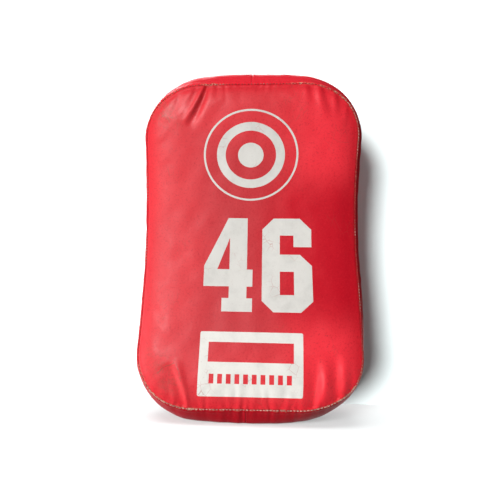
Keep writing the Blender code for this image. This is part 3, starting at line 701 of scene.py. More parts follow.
def cut_panel(name, depth_at, loops, shown, looks, worn=1.0):
    """A panel with rings of points near its seam, which puckers need, and triangles that follow the loops.

    shown gives each triangle's material, or -1 to leave it out.
    """
    count = int(PERIMETER / PANEL_ARC_STEP)
    arcs = np.arange(count) * PERIMETER / count
    rings = [np.stack(beside_seam(arcs, -inset), -1) for inset in PANEL_INSETS]
    grid = inner_grid()
    cuts = [even_steps(loop, PANEL_STEP) for loop in loops]
    close = np.zeros(len(grid), bool)
    for cut in cuts:
        points = np.array(cut)
        low = points.min(0) - PANEL_STEP
        high = points.max(0) + PANEL_STEP
        near = np.flatnonzero(((grid > low) & (grid < high)).all(1))
        gap = np.linalg.norm(grid[near, None] - points[None], axis=2).min(1)
        close[near[gap < PANEL_STEP * 0.55]] = True
    flat = [point for ring in rings for point in ring] + list(grid[~close])
    edges = [(i, (i + 1) % count) for i in range(count)]
    for cut in cuts:
        first = len(flat)
        flat += cut
        edges += [(first + i, first + (i + 1) % len(cut)) for i in range(len(cut))]
    verts, _, faces, *_ = delaunay_2d_cdt([Vector(point) for point in flat], edges, [], 0, 1e-7)
    verts = np.array([tuple(vert) for vert in verts])
    middle = verts[np.array([face[:3] for face in faces])].mean(1)
    kinds = shown(middle[:, 0], middle[:, 1])
    kept = [i for i in np.flatnonzero(kinds >= 0) if len(faces[i]) == 3]
    x, s = verts.T
    inset, arc = nearest_seam(x, s)
    depth = depth_at(x, s)
    outwards = 1 if depth[0] > 0 else -1
    shape = Shape()
    shape.verts = [tuple(point) for point in place(x, s, depth)]
    shape.faces = [faces[i][::outwards] for i in kept]
    marks = {"inset": inset, "across": x, "along": s,
             "wear": worn * seam_wear(arc), "grime": worn * grime_at(x, s)}
    made = shape.finished(name, looks, marks=marks)
    made.data.polygons.foreach_set("material_index", kinds[kept].astype(np.int32))
    return made


# Materials

class Field:
    """A value that varies over a surface: an output of a shader node, with arithmetic of its own."""

    def __init__(self, socket):
        self.socket = socket
        self.tree = socket.id_data

    def __add__(self, other):
        return maths(self.tree, "ADD", self, other)

    def __sub__(self, other):
        return maths(self.tree, "SUBTRACT", self, other)

    def __rsub__(self, other):
        return maths(self.tree, "SUBTRACT", other, self)

    def __mul__(self, other):
        return maths(self.tree, "MULTIPLY", self, other)

    def __abs__(self):
        return maths(self.tree, "ABSOLUTE", self)

    def sine(self):
        return maths(self.tree, "SINE", self)

    def maximum(self, other):
        return maths(self.tree, "MAXIMUM", self, other)

    def ramp(self, low, high, out_low=0.0, out_high=1.0):
        """A smooth step from one number to another as this goes from low to high."""
        return node(self.tree, "ShaderNodeMapRange", {"interpolation_type": "SMOOTHSTEP"}, Value=self,
                    From_Min=low, From_Max=high, To_Min=out_low, To_Max=out_high)

    def between(self, first, second):
        """A number from first to second as this goes from 0 to 1."""
        return node(self.tree, "ShaderNodeMix", _0=self, _2=first, _3=second)

    def mix(self, first, second):
        """A colour from first to second as this goes from 0 to 1."""
        return node(self.tree, "ShaderNodeMix", {"data_type": "RGBA"}, 2, _0=self, _6=first, _7=second)


def feed(made, **inputs):
    """Sets a node's inputs, by name or by _number, to numbers, colours or Fields."""
    for key, value in inputs.items():
        socket = made.inputs[int(key[1:]) if key[0] == "_" else key.replace("_", " ")]
        if isinstance(value, Field):
            made.id_data.links.new(value.socket, socket)
        else:
            socket.default_value = value


def node(tree, kind, settings=None, output=0, **inputs):
    """An output of a new shader node with those settings and inputs."""
    made = tree.nodes.new(kind)
    for key, value in (settings or {}).items():
        setattr(made, key, value)
    feed(made, **inputs)
    return Field(made.outputs[output])


def maths(tree, operation, first, second=0.0):
    """What that operation makes of two numbers or Fields."""
    return node(tree, "ShaderNodeMath", {"operation": operation}, _0=first, _1=second)


def placed(tree, scale=(1, 1, 1), turn=(0, 0, 0)):
    """The point's place on its own object, in metres, stretched."""
    where = node(tree, "ShaderNodeTexCoord", output="Object")
    return node(tree, "ShaderNodeMapping", Vector=where, Scale=scale, Rotation=turn)


def colour(red, green, blue):
    return (red, green, blue, 1.0)


def shaded(base, share):
    """A colour, darker by that share."""
    return colour(*(share * part for part in base[:3]))


# Some of these reds are also painted on as light and shade: the deep red as painted shade, the faded red as
# painted sheen, the bright red as painted highlights, and the dull red and the burnt red as painted shade.
RED = colour(0.66, 0.006, 0.018)
DEEP_AND_SHADE_RED = colour(0.52, 0.003, 0.014)
FADED_AND_SHEEN_RED = colour(0.72, 0.050, 0.058)
HIGHLIGHT_RED = colour(0.88, 0.026, 0.044)
PALE_RED = colour(0.80, 0.048, 0.056)
BURNT_AND_SHADE_RED = colour(0.34, 0.002, 0.010)
DULL_SHADE_RED = colour(0.43, 0.030, 0.036)
TAN = colour(0.60, 0.40, 0.27)
GRIME = colour(0.16, 0.04, 0.03)
SCUFF = colour(0.22, 0.075, 0.050)
CRACK = colour(0.45, 0.14, 0.12)
FLECK = colour(0.42, 0.30, 0.26)
DUST = colour(0.09, 0.08, 0.075)
RIB_PITCH = 0.0024
ROW_PITCH = 0.0017
TAPE_ROW_PITCH = 0.0008
BUMP_HEIGHT = 0.0004


class Look:
    """A material in the making, with a base colour that others are painted over."""

    def __init__(self, name, base):
        self.made = bpy.data.materials.new(name)
        self.made.use_nodes = True
        self.tree = self.made.node_tree
        self.where = placed(self.tree)
        self.base = base

    def noise(self, scale, detail=3.0, roughness=0.55, where=None):
        return node(self.tree, "ShaderNodeTexNoise", Vector=where or self.where, Scale=scale, Detail=detail,
                    Roughness=roughness)

    def cells(self, scale, feature="F1", where=None, **inputs):
        return node(self.tree, "ShaderNodeTexVoronoi", {"feature": feature}, Vector=where or self.where,
                    Scale=scale, **inputs)

    def mark(self, name):
        """One of the mesh's point attributes."""
        return node(self.tree, "ShaderNodeAttribute", {"attribute_name": name}, "Fac")

    def height(self):
        """The point's height above the floor."""
        return node(self.tree, "ShaderNodeSeparateXYZ", None, 2, Vector=self.where)

    def grain(self):
        """Heights of the pressed grain of coated vinyl, with the cloth behind it faintly showing."""
        cells = self.cells(900.0, "SMOOTH_F1", Smoothness=0.6)
        return cells * 0.6 + self.noise(420.0, 3.0, 0.6) * 0.6 + self.noise(60.0, 5.0, 0.7) * 2.4

    def paint(self, share, coat):
        """Covers that share of the base colour with another colour."""
        self.base = share.mix(self.base, coat)

    def finished(self, roughness, height, strength, distance=BUMP_HEIGHT, **inputs):
        """The material, with its bumps and its shader's other inputs."""
        normal = node(self.tree, "ShaderNodeBump", Strength=strength, Distance=distance, Height=height)
        feed(self.tree.nodes["Principled BSDF"], Base_Color=self.base, Roughness=roughness, Normal=normal,
             **inputs)
        return self.made


def near_line(across, along, start, end, width):
    """How close a point is to a straight mark between two points of the flat pad, from 0 to 1."""
    length = hypot(end[0] - start[0], end[1] - start[1])
    run_x = (end[0] - start[0]) / length
    run_s = (end[1] - start[1]) / length
    from_x = across - start[0]
    from_s = along - start[1]
    on = from_x * run_x + from_s * run_s
    off = from_x * run_s - from_s * run_x
    beside = on.ramp(-0.001, 0.002) * on.ramp(length + 0.001, length - 0.002)
    return abs(off).ramp(width, width * 0.3) * beside


def paint_front_light_and_scratches(vinyl, inset):
    """Paints light and shade over the front panel, and scratches it: painted sheen towards its ends and its
    left, painted highlights at the ends of its right side, and painted shade in its middle, down its right
    side and along its seam.
    """
    across = vinyl.mark("across")
    along = vinyl.mark("along")
    ends = abs(along + 0.015).ramp(0.070, 0.170)
    # The middle of the panel's right side, painted deep red below as shade; the rest of the panel gets a
    # painted sheen
    kept = across.ramp(-0.02, 0.11) * (1.0 - ends)
    # Painted sheen: the panel's left and its ends are painted paler
    vinyl.paint((1.0 - kept) * 0.62, FADED_AND_SHEEN_RED)
    # Painted highlights: the ends of the panel's right side are painted brighter
    vinyl.paint(across.ramp(0.03, 0.13) * ends * 0.75, HIGHLIGHT_RED)
    # Painted shade: the inner part of the panel, from its left up to its centre line, is painted duller
    vinyl.paint(inset.ramp(0.060, 0.150) * across.ramp(0.11, 0.01) * 0.55, DULL_SHADE_RED)
    # Painted shade: the middle of the panel's right side is painted deep red
    vinyl.paint(kept * 0.9, DEEP_AND_SHADE_RED)
    # Painted shade: a deeper, more saturated red along the seam, where the panel rolls away from the light
    vinyl.paint(inset.ramp(0.022, 0.003, 0.0, 0.6), RED)
    shaken = across + (vinyl.noise(55.0, 2.0) - 0.5) * 0.006
    scratches = None
    for points, width, strength in SCUFF_LINES:
        for start, end in zip(points, points[1:]):
            one = near_line(shaken, along, start, end, width) * strength
            scratches = scratches.maximum(one) if scratches else one
    vinyl.paint(scratches * vinyl.noise(220.0).ramp(0.36, 0.56) * 0.85, SCUFF)


def vinyl_look(name, front=False):
    """Red coated vinyl: grained, creased, unevenly toned, and rubbed bare and soiled by its marks, with
    painted light high up and painted shade low down on all but the front panel, which gets its own painted
    sheen, highlights and shade.
    """
    vinyl = Look(name, DEEP_AND_SHADE_RED)
    fine = vinyl.noise(70.0, 4.0, 0.6)
    weave = vinyl.noise(310.0, 4.0, 0.75)
    smudge = vinyl.noise(150.0, 6.0, 0.75)
    inset = vinyl.mark("inset")
    wear = vinyl.mark("wear")
    vinyl.paint(vinyl.noise(7.0).ramp(0.36, 0.66), RED)
    vinyl.paint(fine.ramp(0.45, 0.85) * 0.18, FADED_AND_SHEEN_RED)
    if front:
        # Painted sheen, highlights and shade, and scratches, on the front panel
        paint_front_light_and_scratches(vinyl, inset)
    else:
        # Painted light: everything higher than about half a metre, the top of the pad, is painted brighter
        vinyl.paint(vinyl.height().ramp(0.50, 0.60, 0.0, 0.85), HIGHLIGHT_RED)
        # Painted shade: the lowest few centimetres, by the floor, are painted darker
        vinyl.paint(vinyl.height().ramp(0.080, 0.025, 0.0, 0.60), BURNT_AND_SHADE_RED)
    vinyl.paint(weave.ramp(0.50, 0.30, 0.0, 0.40), BURNT_AND_SHADE_RED)
    vinyl.paint(weave.ramp(0.52, 0.76, 0.0, 0.25), PALE_RED)
    slanted = placed(vinyl.tree, (1, 1, 0.45), (0.3, 0.5, 0.4))
    creases = vinyl.cells(95.0, "DISTANCE_TO_EDGE", slanted).ramp(0.030, 0.0)
    vinyl.paint(creases * vinyl.noise(13.0, 2.0).ramp(0.56, 0.66) * 0.25, SCUFF)
    vinyl.paint(vinyl.mark("grime") * smudge.ramp(0.44, 0.60) * 0.42, SCUFF)
    vinyl.paint(inset.ramp(0.012, 0.002) * wear * smudge.ramp(0.50, 0.62) * 0.45, GRIME)
    rubbed = inset.ramp(0.0024, 0.0006) * wear * vinyl.noise(260.0, 4.0, 0.7).ramp(0.47, 0.56)
    vinyl.paint(rubbed, TAN)
    roughness = fine.ramp(0.3, 0.8, 0.36, 0.47) + rubbed * 0.3
    return vinyl.finished(roughness, vinyl.grain(), 0.35, Specular_IOR_Level=0.20 if front else 0.07)


def ink_look(name, base):
    """Pale print on the vinyl, slightly grubby and finely cracked."""
    ink = Look(name, base)
    ink.paint(ink.noise(45.0, 5.0, 0.65).ramp(0.42, 0.75) * 0.55, shaded(base, 0.80))
    ink.paint(ink.noise(330.0, 3.0, 0.6).ramp(0.60, 0.74) * 0.22, FLECK)
    cracks = ink.cells(75.0, "DISTANCE_TO_EDGE").ramp(0.035, 0.0)
    ink.paint(cracks * ink.noise(22.0, 2.0).ramp(0.56, 0.70) * 0.6, CRACK)
    return ink.finished(0.55, ink.grain(), 0.30, Specular_IOR_Level=0.30)


def thread_look(name, base, dye=None):
    """Twisted thread; dyed thread keeps its dye except low down and in worn places."""
    thread = Look(name, shaded(base, 0.45))
    thread.paint(thread.noise(60.0).ramp(0.38, 0.62), base)
    if dye:
        bare = thread.noise(16.0, 2.0).ramp(0.50, 0.62, 0.0, 0.7).maximum(thread.height().ramp(0.10, 0.045))
        thread.base = bare.mix(dye, thread.base)
    return thread.finished(0.85, thread.noise(1500.0, 3.0, 0.7), 0.6, 0.0002)


def webbing_look():
    """Flat woven nylon: rows of ribs along it with the crossing threads between them."""
    nylon = Look("webbing", colour(0.006, 0.006, 0.007))
    row = nylon.mark("across") * (2 * pi / RIB_PITCH)
    crossing = (nylon.mark("along") * (2 * pi / ROW_PITCH) + row.sine() * 0.9).sine()
    height = abs((row * 0.5).sine()) + crossing * 0.45 + nylon.noise(900.0, 3.0, 0.7) * 0.4
    # Painted shade in the weave: the grooves between the ribs and threads are painted darker than their
    # raised tops
    nylon.paint(height.ramp(0.1, 1.7), colour(0.034, 0.034, 0.037))
    nylon.paint(nylon.noise(40.0, 4.0, 0.6).ramp(0.5, 0.8) * 0.3, DUST)
    return nylon.finished(0.7, height, 0.8, Sheen_Weight=0.15)


def tape_look():
    """Woven zipper tape: close herringbone rows."""
    tape = Look("zipper_tape", colour(0.008, 0.008, 0.009))
    zigzag = maths(tape.tree, "PINGPONG", tape.mark("across"), 2 * TAPE_ROW_PITCH)
    rows = ((tape.mark("along") + zigzag) * (2 * pi / TAPE_ROW_PITCH)).sine()
    height = rows + tape.noise(1200.0, 2.0, 0.6)
    # Painted shade in the weave: the grooves between the rows are painted darker than their raised tops
    tape.paint(height.ramp(-0.6, 1.6), colour(0.030, 0.030, 0.033))
    return tape.finished(0.85, height, 0.5, 0.0002)


def metal_look(name, base, roughness):
    """Plated metal, tarnished in patches and finely scratched."""
    metal = Look(name, base)
    tarnish = metal.noise(160.0, 4.0, 0.65).ramp(0.44, 0.72)
    metal.paint(tarnish * 0.6, shaded(base, 0.45))
    scratches = metal.noise(800.0, 2.0, 0.6, placed(metal.tree, (1, 1, 9)))
    return metal.finished(tarnish * 0.25 + roughness, scratches, 0.12, 0.0001, Metallic=1.0)


def foam_look(name, base, scale):
    """Foam with fine open pores."""
    foam = Look(name, base)
    pores = foam.cells(scale)
    # Painted shade: the pores, the low points of the bumps, are painted darker
    foam.paint(pores.ramp(0.45, 0.15), shaded(base, 0.7))
    return foam.finished(0.95, pores, 0.6)


# The scene

STAGE_SIZE = 8.0
WALL_Y = 0.135
WALL_FOOT = -0.3

# Suns that light the stage alone: name, strength, width in degrees, heading and what they light
SUNS = (
    ("backdrop_key", 7.4, 18, (0.42, 0.93, -0.060), "wall"),
    ("floor_key", 4.2, 18, (0.27, 0.88, -0.36), "floor"),
    ("floor_fill", 2.3, 42, (0.16, 0.30, -0.93), "floor"),
    ("floor_back", 0.55, 60, (0.28, -0.30, -0.90), "floor"),
)

# Soft boxes that light the pad alone: name, power, width and place
BOXES = (
    ("left_box", 23.0, 1.0, (-1.8, -0.45, -0.12)),
    ("back_box", 72.0, 1.8, (-0.5, 2.2, 2.1)),
)


def ray_kinds(tree):
    """Whether a ray comes from the camera, through glass, or from a reflection."""
    return [node(tree, "ShaderNodeLightPath", None, "Is " + kind + " Ray")
            for kind in ("Camera", "Transmission", "Glossy")]


def white_look(name, base, glow, one_sided=False):
    """A pale matt surface, which shows itself brighter than it lights the pad."""
    made = bpy.data.materials.new(name)
    made.use_nodes = True
    tree = made.node_tree
    shader = tree.nodes["Principled BSDF"]
    camera, glass, mirror = ray_kinds(tree)
    seen = camera.maximum(glass).maximum(mirror)
    feed(shader, Base_Color=seen.mix(shaded(base, 0.25), base), Roughness=0.9, Specular_IOR_Level=0.0)
    glowing = node(tree, "ShaderNodeEmission", Strength=seen * glow)
    surface = node(tree, "ShaderNodeAddShader", _0=Field(shader.outputs[0]), _1=glowing)
    if one_sided:
        behind = node(tree, "ShaderNodeNewGeometry", None, "Backfacing")
        surface = node(tree, "ShaderNodeMixShader", _0=behind, _1=surface,
                       _2=node(tree, "ShaderNodeBsdfTransparent"))
    feed(tree.nodes["Material Output"], Surface=surface)
    return made


def lamp(name, kind, energy, heading, at=(0, 0, 0), only=(), never=()):
    """A lamp that lights only some objects, or all but some."""
    light = bpy.data.lights.new(name, kind)
    light.energy = energy
    made = added(name, light)
    made.location = at
    made.rotation_euler = Vector(heading).to_track_quat("-Z", "Y").to_euler()
    linked = bpy.data.collections.new(name + "_lights")
    for target in (*only, *never):
        linked.objects.link(target)
    for entry in linked.collection_objects:
        entry.light_linking.link_state = "INCLUDE" if only else "EXCLUDE"
    made.light_linking.receiver_collection = linked
    return light


def light_world():
    """A soft room, brighter on its left, that is seen as plain white."""
    world = bpy.data.worlds.new("world")
    world.use_nodes = True
    tree = world.node_tree
    camera, glass, mirror = ray_kinds(tree)
    heading = node(tree, "ShaderNodeTexCoord", None, "Generated")
    sideways, onward = (node(tree, "ShaderNodeSeparateXYZ", None, axis, Vector=heading) for axis in (0, 1))
    room = sideways.ramp(-0.7, 0.9, 0.30, 0.12)
    mirrored = sideways.ramp(-0.7, 0.45, 0.50, 0.05) * onward.ramp(-0.2, 0.6, 1.0, 0.35)
    strength = camera.maximum(glass).between(mirror.between(room, mirrored), 1.0)
    feed(tree.nodes["Background"], Color=colour(1, 1, 1), Strength=strength)
    bpy.context.scene.world = world
    bpy.context.scene.view_settings.view_transform = "Standard"


def stand_camera():
    """The camera at the photograph's viewing angle."""
    camera = added("camera", bpy.data.cameras.new("camera"))
    camera.data.sensor_width = SENSOR
    camera.data.lens = FOCAL_PIXELS / PICTURE_PIXELS * SENSOR
    level = cos(CAMERA_PITCH)
    ahead = Vector((-sin(CAMERA_YAW) * level, cos(CAMERA_YAW) * level, sin(CAMERA_PITCH)))
    turn = ahead.to_track_quat("-Z", "Y").to_matrix() @ Matrix.Rotation(CAMERA_ROLL, 3, "Z")
    camera.matrix_world = Matrix.Translation(CAMERA_PLACE) @ turn.to_4x4()
    bpy.context.scene.camera = camera


def stage():
    """A white floor and a white wall just behind the pad, lit apart from it, and the camera and lamps."""
    size = STAGE_SIZE
    ground = [(-size, -size, 0), (size, -size, 0), (size, size, 0), (-size, size, 0)]
    upright = [(-size, 0, WALL_FOOT), (size, 0, WALL_FOOT), (size, 0, size), (-size, 0, size)]
    floor_white = white_look("floor_white", colour(0.50, 0.53, 0.53), 0.39)
    wall_white = white_look("wall_white", colour(0.52, 0.575, 0.575), 0.03, True)
    floor = Shape().skin([ground[:2], ground[:1:-1]], closed=False).finished("floor", floor_white)
    wall = Shape().skin([upright[:2], upright[:1:-1]], closed=False).finished("wall", wall_white)
    wall.rotation_euler = Euler((LEAN, 0, 0))
    wall.location = (0, WALL_Y, 0)
    floor.visible_shadow = False
    wall.visible_shadow = False
    wall.visible_diffuse = False
    wall.visible_glossy = False
    wall.visible_transmission = False
    lamp("key", "SUN", 2.9, (0.42, 0.86, -0.28), never=[wall, floor]).angle = radians(10)
    for name, energy, angle, heading, lit in SUNS:
        sun = lamp(name, "SUN", energy, heading, only=[wall if lit == "wall" else floor])
        sun.angle = radians(angle)
    for name, energy, width, at in BOXES:
        box = lamp(name, "AREA", energy, Vector((0, 0, 0.3)) - Vector(at), at, never=[wall, floor])
        box.shape = "SQUARE"
        box.size = width
    stand_camera()
    light_world()


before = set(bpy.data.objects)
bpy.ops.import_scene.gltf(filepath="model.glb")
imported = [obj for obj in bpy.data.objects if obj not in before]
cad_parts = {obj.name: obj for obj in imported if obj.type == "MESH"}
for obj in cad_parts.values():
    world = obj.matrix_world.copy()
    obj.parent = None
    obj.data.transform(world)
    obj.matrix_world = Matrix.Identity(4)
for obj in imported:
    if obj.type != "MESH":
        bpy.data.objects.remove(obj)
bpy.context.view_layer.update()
stage()

RED_VINYL = vinyl_look("red_vinyl")
PRINTED_VINYL = vinyl_look("printed_vinyl", True)
INK = ink_look("grey_print", colour(0.66, 0.64, 0.60))
LABEL_INK = ink_look("white_print", colour(0.76, 0.74, 0.69))
SEAM_THREAD = thread_look("seam_thread", colour(0.76, 0.54, 0.45), colour(0.42, 0.03, 0.03))
HANDLE_THREAD = thread_look("handle_thread", colour(0.72, 0.70, 0.65))
WEBBING = webbing_look()
TAPE = tape_look()
NICKEL = metal_look("nickel", colour(0.62, 0.61, 0.58), 0.26)
BRASS = metal_look("brass", colour(0.75, 0.56, 0.25), 0.24)
SOFT_FOAM = foam_look("soft_foam", colour(0.80, 0.77, 0.68), 420.0)
FIRM_FOAM = foam_look("firm_foam", colour(0.22, 0.23, 0.25), 650.0)


def piece(made, slot, *nodes, body="root", fill=None):
    """Makes a piece ride on a body and stand for its CAD nodes, which it hides; the slot is not used."""
    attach(made, body)
    if nodes:
        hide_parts(*nodes)


# The cover

def printed(x, s):
    """Which triangles of the front panel carry the print."""
    away = np.hypot(x - TARGET[0], s - TARGET[1])
    r1, r2, r3, r4, r5 = TARGET_RINGS
    white = ((away < r1) & (away > r2)) | ((away < r3) & (away > r4)) | (away < r5)
    for outer, hole in (four(), six()):
        white |= inside(x, s, outer) & ~inside(x, s, hole)
    label = inside(x, s, LABEL)
    for loop in label_marks():
        label &= ~inside(x, s, loop)
    return np.where(label, 2, white.astype(int))


front = cut_panel("front_panel", front_depth, PRINT_LOOPS, printed, [PRINTED_VINYL, INK, LABEL_INK])
piece(front, "printed_vinyl", "front_cover_panel", fill=0.9)

SLIT_HALF = ZIP_LENGTH / 2 + STOP_LENGTH - ZIP_SLOT_WIDTH / 4
SLIT_RADIUS = ZIP_SLOT_WIDTH / 2
SLIT_TURNS = [(end, end * cos(turn), end * sin(turn))
              for end in (1, -1) for turn in np.linspace(-pi / 2, pi / 2, 11)]
HEM_EDGE = 0.0097
HEM_FOOT = 0.0085
HEM_STITCH = 0.0052


def slit_loop(out=0.0):
    """A loop round the zipper's slit, let out by a distance."""
    radius = SLIT_RADIUS + out
    return [(end * SLIT_HALF + radius * x, ZIP_S + radius * s) for end, x, s in SLIT_TURNS]


def slit_gap(x, s):
    """Distance outside the zipper's slit."""
    return np.hypot(np.maximum(np.abs(x) - SLIT_HALF, 0), s - ZIP_S) - SLIT_RADIUS


def back_surface(x, s):
    """Depth of the back panel, with the turned hem round the zipper's slit."""
    gap = slit_gap(x, s)
    hem = 0.0010 * np.clip(1 - (gap - HEM_FOOT) / (HEM_EDGE - HEM_FOOT), 0, 1)
    groove = 0.0007 * bump_at(np.maximum(gap, 0), 0, 0.0010) + 0.0005 * bump_at(gap, HEM_STITCH, 0.0011)
    return back_depth(x, s) - np.where(gap < 0.02, hem - groove, 0.0)


def back_shown(x, s):
    return np.where(slit_gap(x, s) > 0, 0, -1)


SLIT_LOOPS = [slit_loop(out) for out in (0.0, 0.0011, 0.0026, 0.0042, HEM_STITCH, 0.0062, HEM_FOOT, HEM_EDGE)]
back = cut_panel("back_panel", back_surface, SLIT_LOOPS, back_shown, RED_VINYL, worn=0.3)
piece(back, "red_vinyl", "back_cover_panel", fill=0.9)


VENT_HOLE = 0.0050


def finer_near(values, centres):
    """The values, with a run of fine even steps in place of those near each centre."""
    reach = 0.0085
    step = 0.0008
    runs = [centre + np.arange(-reach, reach + step / 2, step) for centre in centres]
    kept = [value for value in values if all(abs(value - centre) > reach + step for centre in centres)]
    return np.sort(np.concatenate([kept] + runs))


def band(name, side, node_name):
    """Half of the wall round the pad, from the top centre to the bottom centre, with its two vent holes."""
    full = 2 * BAND_HALF
    length = PERIMETER / 2
    lips = np.array([-0.0024, -0.0010, 0.0, 0.0012, 0.003, 0.0055, 0.009, 0.013])
    ends = np.array([0.0001, 0.0008, 0.0016, 0.0028])
    depths = np.concatenate((lips, np.linspace(0.018, full - 0.018, 20), full - lips[::-1]))
    depths = finer_near(depths, [BAND_HALF - VENT_DEPTH])
    along = np.concatenate((ends, np.linspace(0.0045, length - 0.0045, 350), length - ends[::-1]))
    along = finer_near(along, VENT_ARCS)
    arc, down = np.meshgrid(side * along, depths)
    half = np.abs(arc)
    from_front = np.maximum(down, 0)
    from_back = np.maximum(full - down, 0)
    edge = np.minimum(from_front, from_back)
    middle = np.clip(edge / 0.02, 0, 1)
    gap = np.min([np.hypot(half - centre, down - BAND_HALF + VENT_DEPTH) for centre in VENT_ARCS], axis=0)
    wrapped = np.mod(arc, PERIMETER)
    out = -puckers(wrapped, from_front, FRONT_PUCKERS, True) - puckers(wrapped, from_back, BACK_PUCKERS, True)
    out = out + 0.0003 * middle * (waves(arc, down, 0.06, 8) + waves(arc, down * 0.4, 0.03, 9))
    out = out * np.clip((gap - 0.008) / 0.012, 0, 1) + 0.0016 * bump_at(edge, 0.0032, 0.0026)
    join = np.minimum(half, length - half)
    out = out - 0.0007 * bump_at(join, 0, 0.0011) - 0.0002 * bump_at(join, 0, 0.012)
    out = out + 0.0002 * bump_at(join, 0.0042, 0.0022) * middle
    out = out - 0.0006 * ((down < -0.0005) | (down > full + 0.0005))
    rings = wall_point(arc, BAND_HALF - np.clip(down, 0, full), out)
    shape = Shape().skin(rings, closed=False, flip=side < 0)
    gap = gap.ravel()
    shape.faces = [face for face in shape.faces if sum(gap[corner] for corner in face) / 4 > VENT_HOLE]
    wear = seam_wear(arc) * np.where(from_front < from_back, 1.0, 0.35)
    made = shape.finished(name, RED_VINYL, marks={"inset": edge, "wear": wear, "grime": 0 * edge})
    piece(made, "red_vinyl", node_name, fill=0.9)


band("right_band", 1, "right_side_band")
band("left_band", -1, "left_side_band")


# Stitches

SEAM_PITCH = 0.0055
SEAM_STITCH = 0.0036
SEAM_THREAD_RADIUS = 0.00065
SEAM_OUT = 0.0003
PANEL_THREAD_RADIUS = 0.00035
BOX_THREAD_RADIUS = 0.00042
ONE_PER_EDGE = 1.0


def stitched(name, runs, radius, thread, slot, *nodes):
    """A piece of stitches, from a list of (start, end, up)."""
    shape = Shape()
    for start, end, up in runs:
        shape.stitch(start, end, up, radius)
    piece(shape.finished(name, thread), slot, *nodes)


def dashes(points, ups, pitch, share):
    """Stitch runs along a line of points, each taking that share of its pitch."""
    runs = []
    for a, b, up in zip(points, points[1:], ups):
        count = max(1, round((b - a).length / pitch))
        for i in range(count):
            start, end = ((i + 0.5 + sign * share / 2) / count for sign in (-1, 1))
            runs.append((a + (b - a) * start, a + (b - a) * end, up))
    return runs


def seam_runs(side):
    """The stitches in the groove between a panel and the wall."""
    runs = []
    count = int(PERIMETER / SEAM_PITCH)
    depth = side * (HALF_T - 0.0011)
    rng = np.random.default_rng(5)
    for i in range(count):
        arc = np.array([-0.5, 0.5]) * SEAM_STITCH + (i + rng.uniform(-0.06, 0.06)) * PERIMETER / count
        start, end = (Vector(point) for point in place(*beside_seam(arc, SEAM_OUT), depth))
        lifted = Vector(place(*beside_seam(arc[0], SEAM_OUT + 0.001), depth + side * 0.001))
        run = (end - start).normalized()
        up = lifted - start
        runs.append((start, end, (up - run * up.dot(run)).normalized()))
    return runs


for side_name, side in (("front", 1), ("back", -1)):
    stitched(side_name + "_seam_stitches", seam_runs(side), SEAM_THREAD_RADIUS, SEAM_THREAD, "seam_thread",
             side_name + "_seam_thread")


# Foam

# How far the edge of each layer lies under its seam
STRIKE_UNDER = 0.0094
CORE_UNDER = 0.0056


def foam(name, side, crown, span, fullness, under, finish, slot, node_name):
    """A foam layer, from the split to the panel on its side, a little inside the cover."""
    inside_wall = 0.0042
    split = FOAM_SPLIT + side * GAP
    edge = side * (HALF_T - under)
    top = side * (HALF_T - under + crown)
    arcs = np.arange(200) * PERIMETER / 200
    x, s = beside_seam(arcs, 0)
    rings = [place([0.0], [0.0], [split])]
    rings += [place(x * share, s * share, split) for share in (0.3, 0.6, 0.85)]
    for share in np.linspace(0, 1, 9):
        rings.append(wall_point(arcs, split + (edge - side * 0.004 - split) * share, -inside_wall))
    rings.append(wall_point(arcs, edge - side * 0.001, -inside_wall - 0.0016))
    for inset in (0.008, 0.014, 0.024, 0.038, 0.055, 0.080):
        rings.append(place(*beside_seam(arcs, -inset), edge + side * rise(inset, crown, span, fullness)))
    rings += [place(x * share, s * share, top) for share in (0.45, 0.2)]
    rings.append(place([0.0], [0.0], [top]))
    made = Shape().skin(rings, flip=side > 0).finished(name, finish, 50)
    piece(made, slot, node_name, fill=1.0)


foam("strike_layer", 1, FRONT_CROWN, FRONT_CROWN_RISE, FRONT_FULLNESS, STRIKE_UNDER,
     SOFT_FOAM, "soft_foam", "strike_foam")
foam("core_layer", -1, BACK_CROWN, BACK_CROWN_RISE, BACK_FULLNESS, CORE_UNDER,
     FIRM_FOAM, "firm_foam", "core_foam")


# Small hard shapes

def flat_shape(name, loops, thickness, bevel, frame):
    """A nickel plate with bevelled edges, cut from loops of (x, z) points, lying in a frame's XZ plane."""
    curve = bpy.data.curves.new(name, "CURVE")
    curve.dimensions = "2D"
    curve.fill_mode = "BOTH"
    curve.extrude = thickness / 2 - bevel
    curve.bevel_depth = bevel
    curve.bevel_resolution = 3
    curve.offset = -bevel
    for loop in loops:
        spline = curve.splines.new("POLY")
        spline.points.add(len(loop) - 1)
        for point, (x, z) in zip(spline.points, loop):
            point.co = (x, z, 0, 1)
        spline.use_cyclic_u = True
    holder = bpy.data.objects.new(name, curve)
    mesh = bpy.data.meshes.new_from_object(holder)
    bpy.data.objects.remove(holder)
    bpy.data.curves.remove(curve)
    mesh.transform(frame @ Matrix(((1, 0, 0, 0), (0, 0, 1, 0), (0, 1, 0, 0), (0, 0, 0, 1))))
    mesh.flip_normals()
    mesh.materials.clear()
    mesh.materials.append(NICKEL)
    mesh.shade_smooth()
    mesh.set_sharp_from_angle(angle=radians(30))
    return added(name, mesh)


def rounded(corners, radius):
    """A loop of corners, each rounded off."""
    loop = []
    for i, corner in enumerate(corners):
        here = Vector(corner)
        before = Vector(corners[i - 1]) - here
        after = Vector(corners[(i + 1) % len(corners)]) - here
        start = here + before.normalized() * min(radius, before.length * 0.48)
        end = here + after.normalized() * min(radius, after.length * 0.48)
        for share in np.linspace(0, 1, 6):
            point = start * (1 - share) ** 2 + here * 2 * share * (1 - share) + end * share ** 2
            loop.append((point.x, point.y))
    return loop


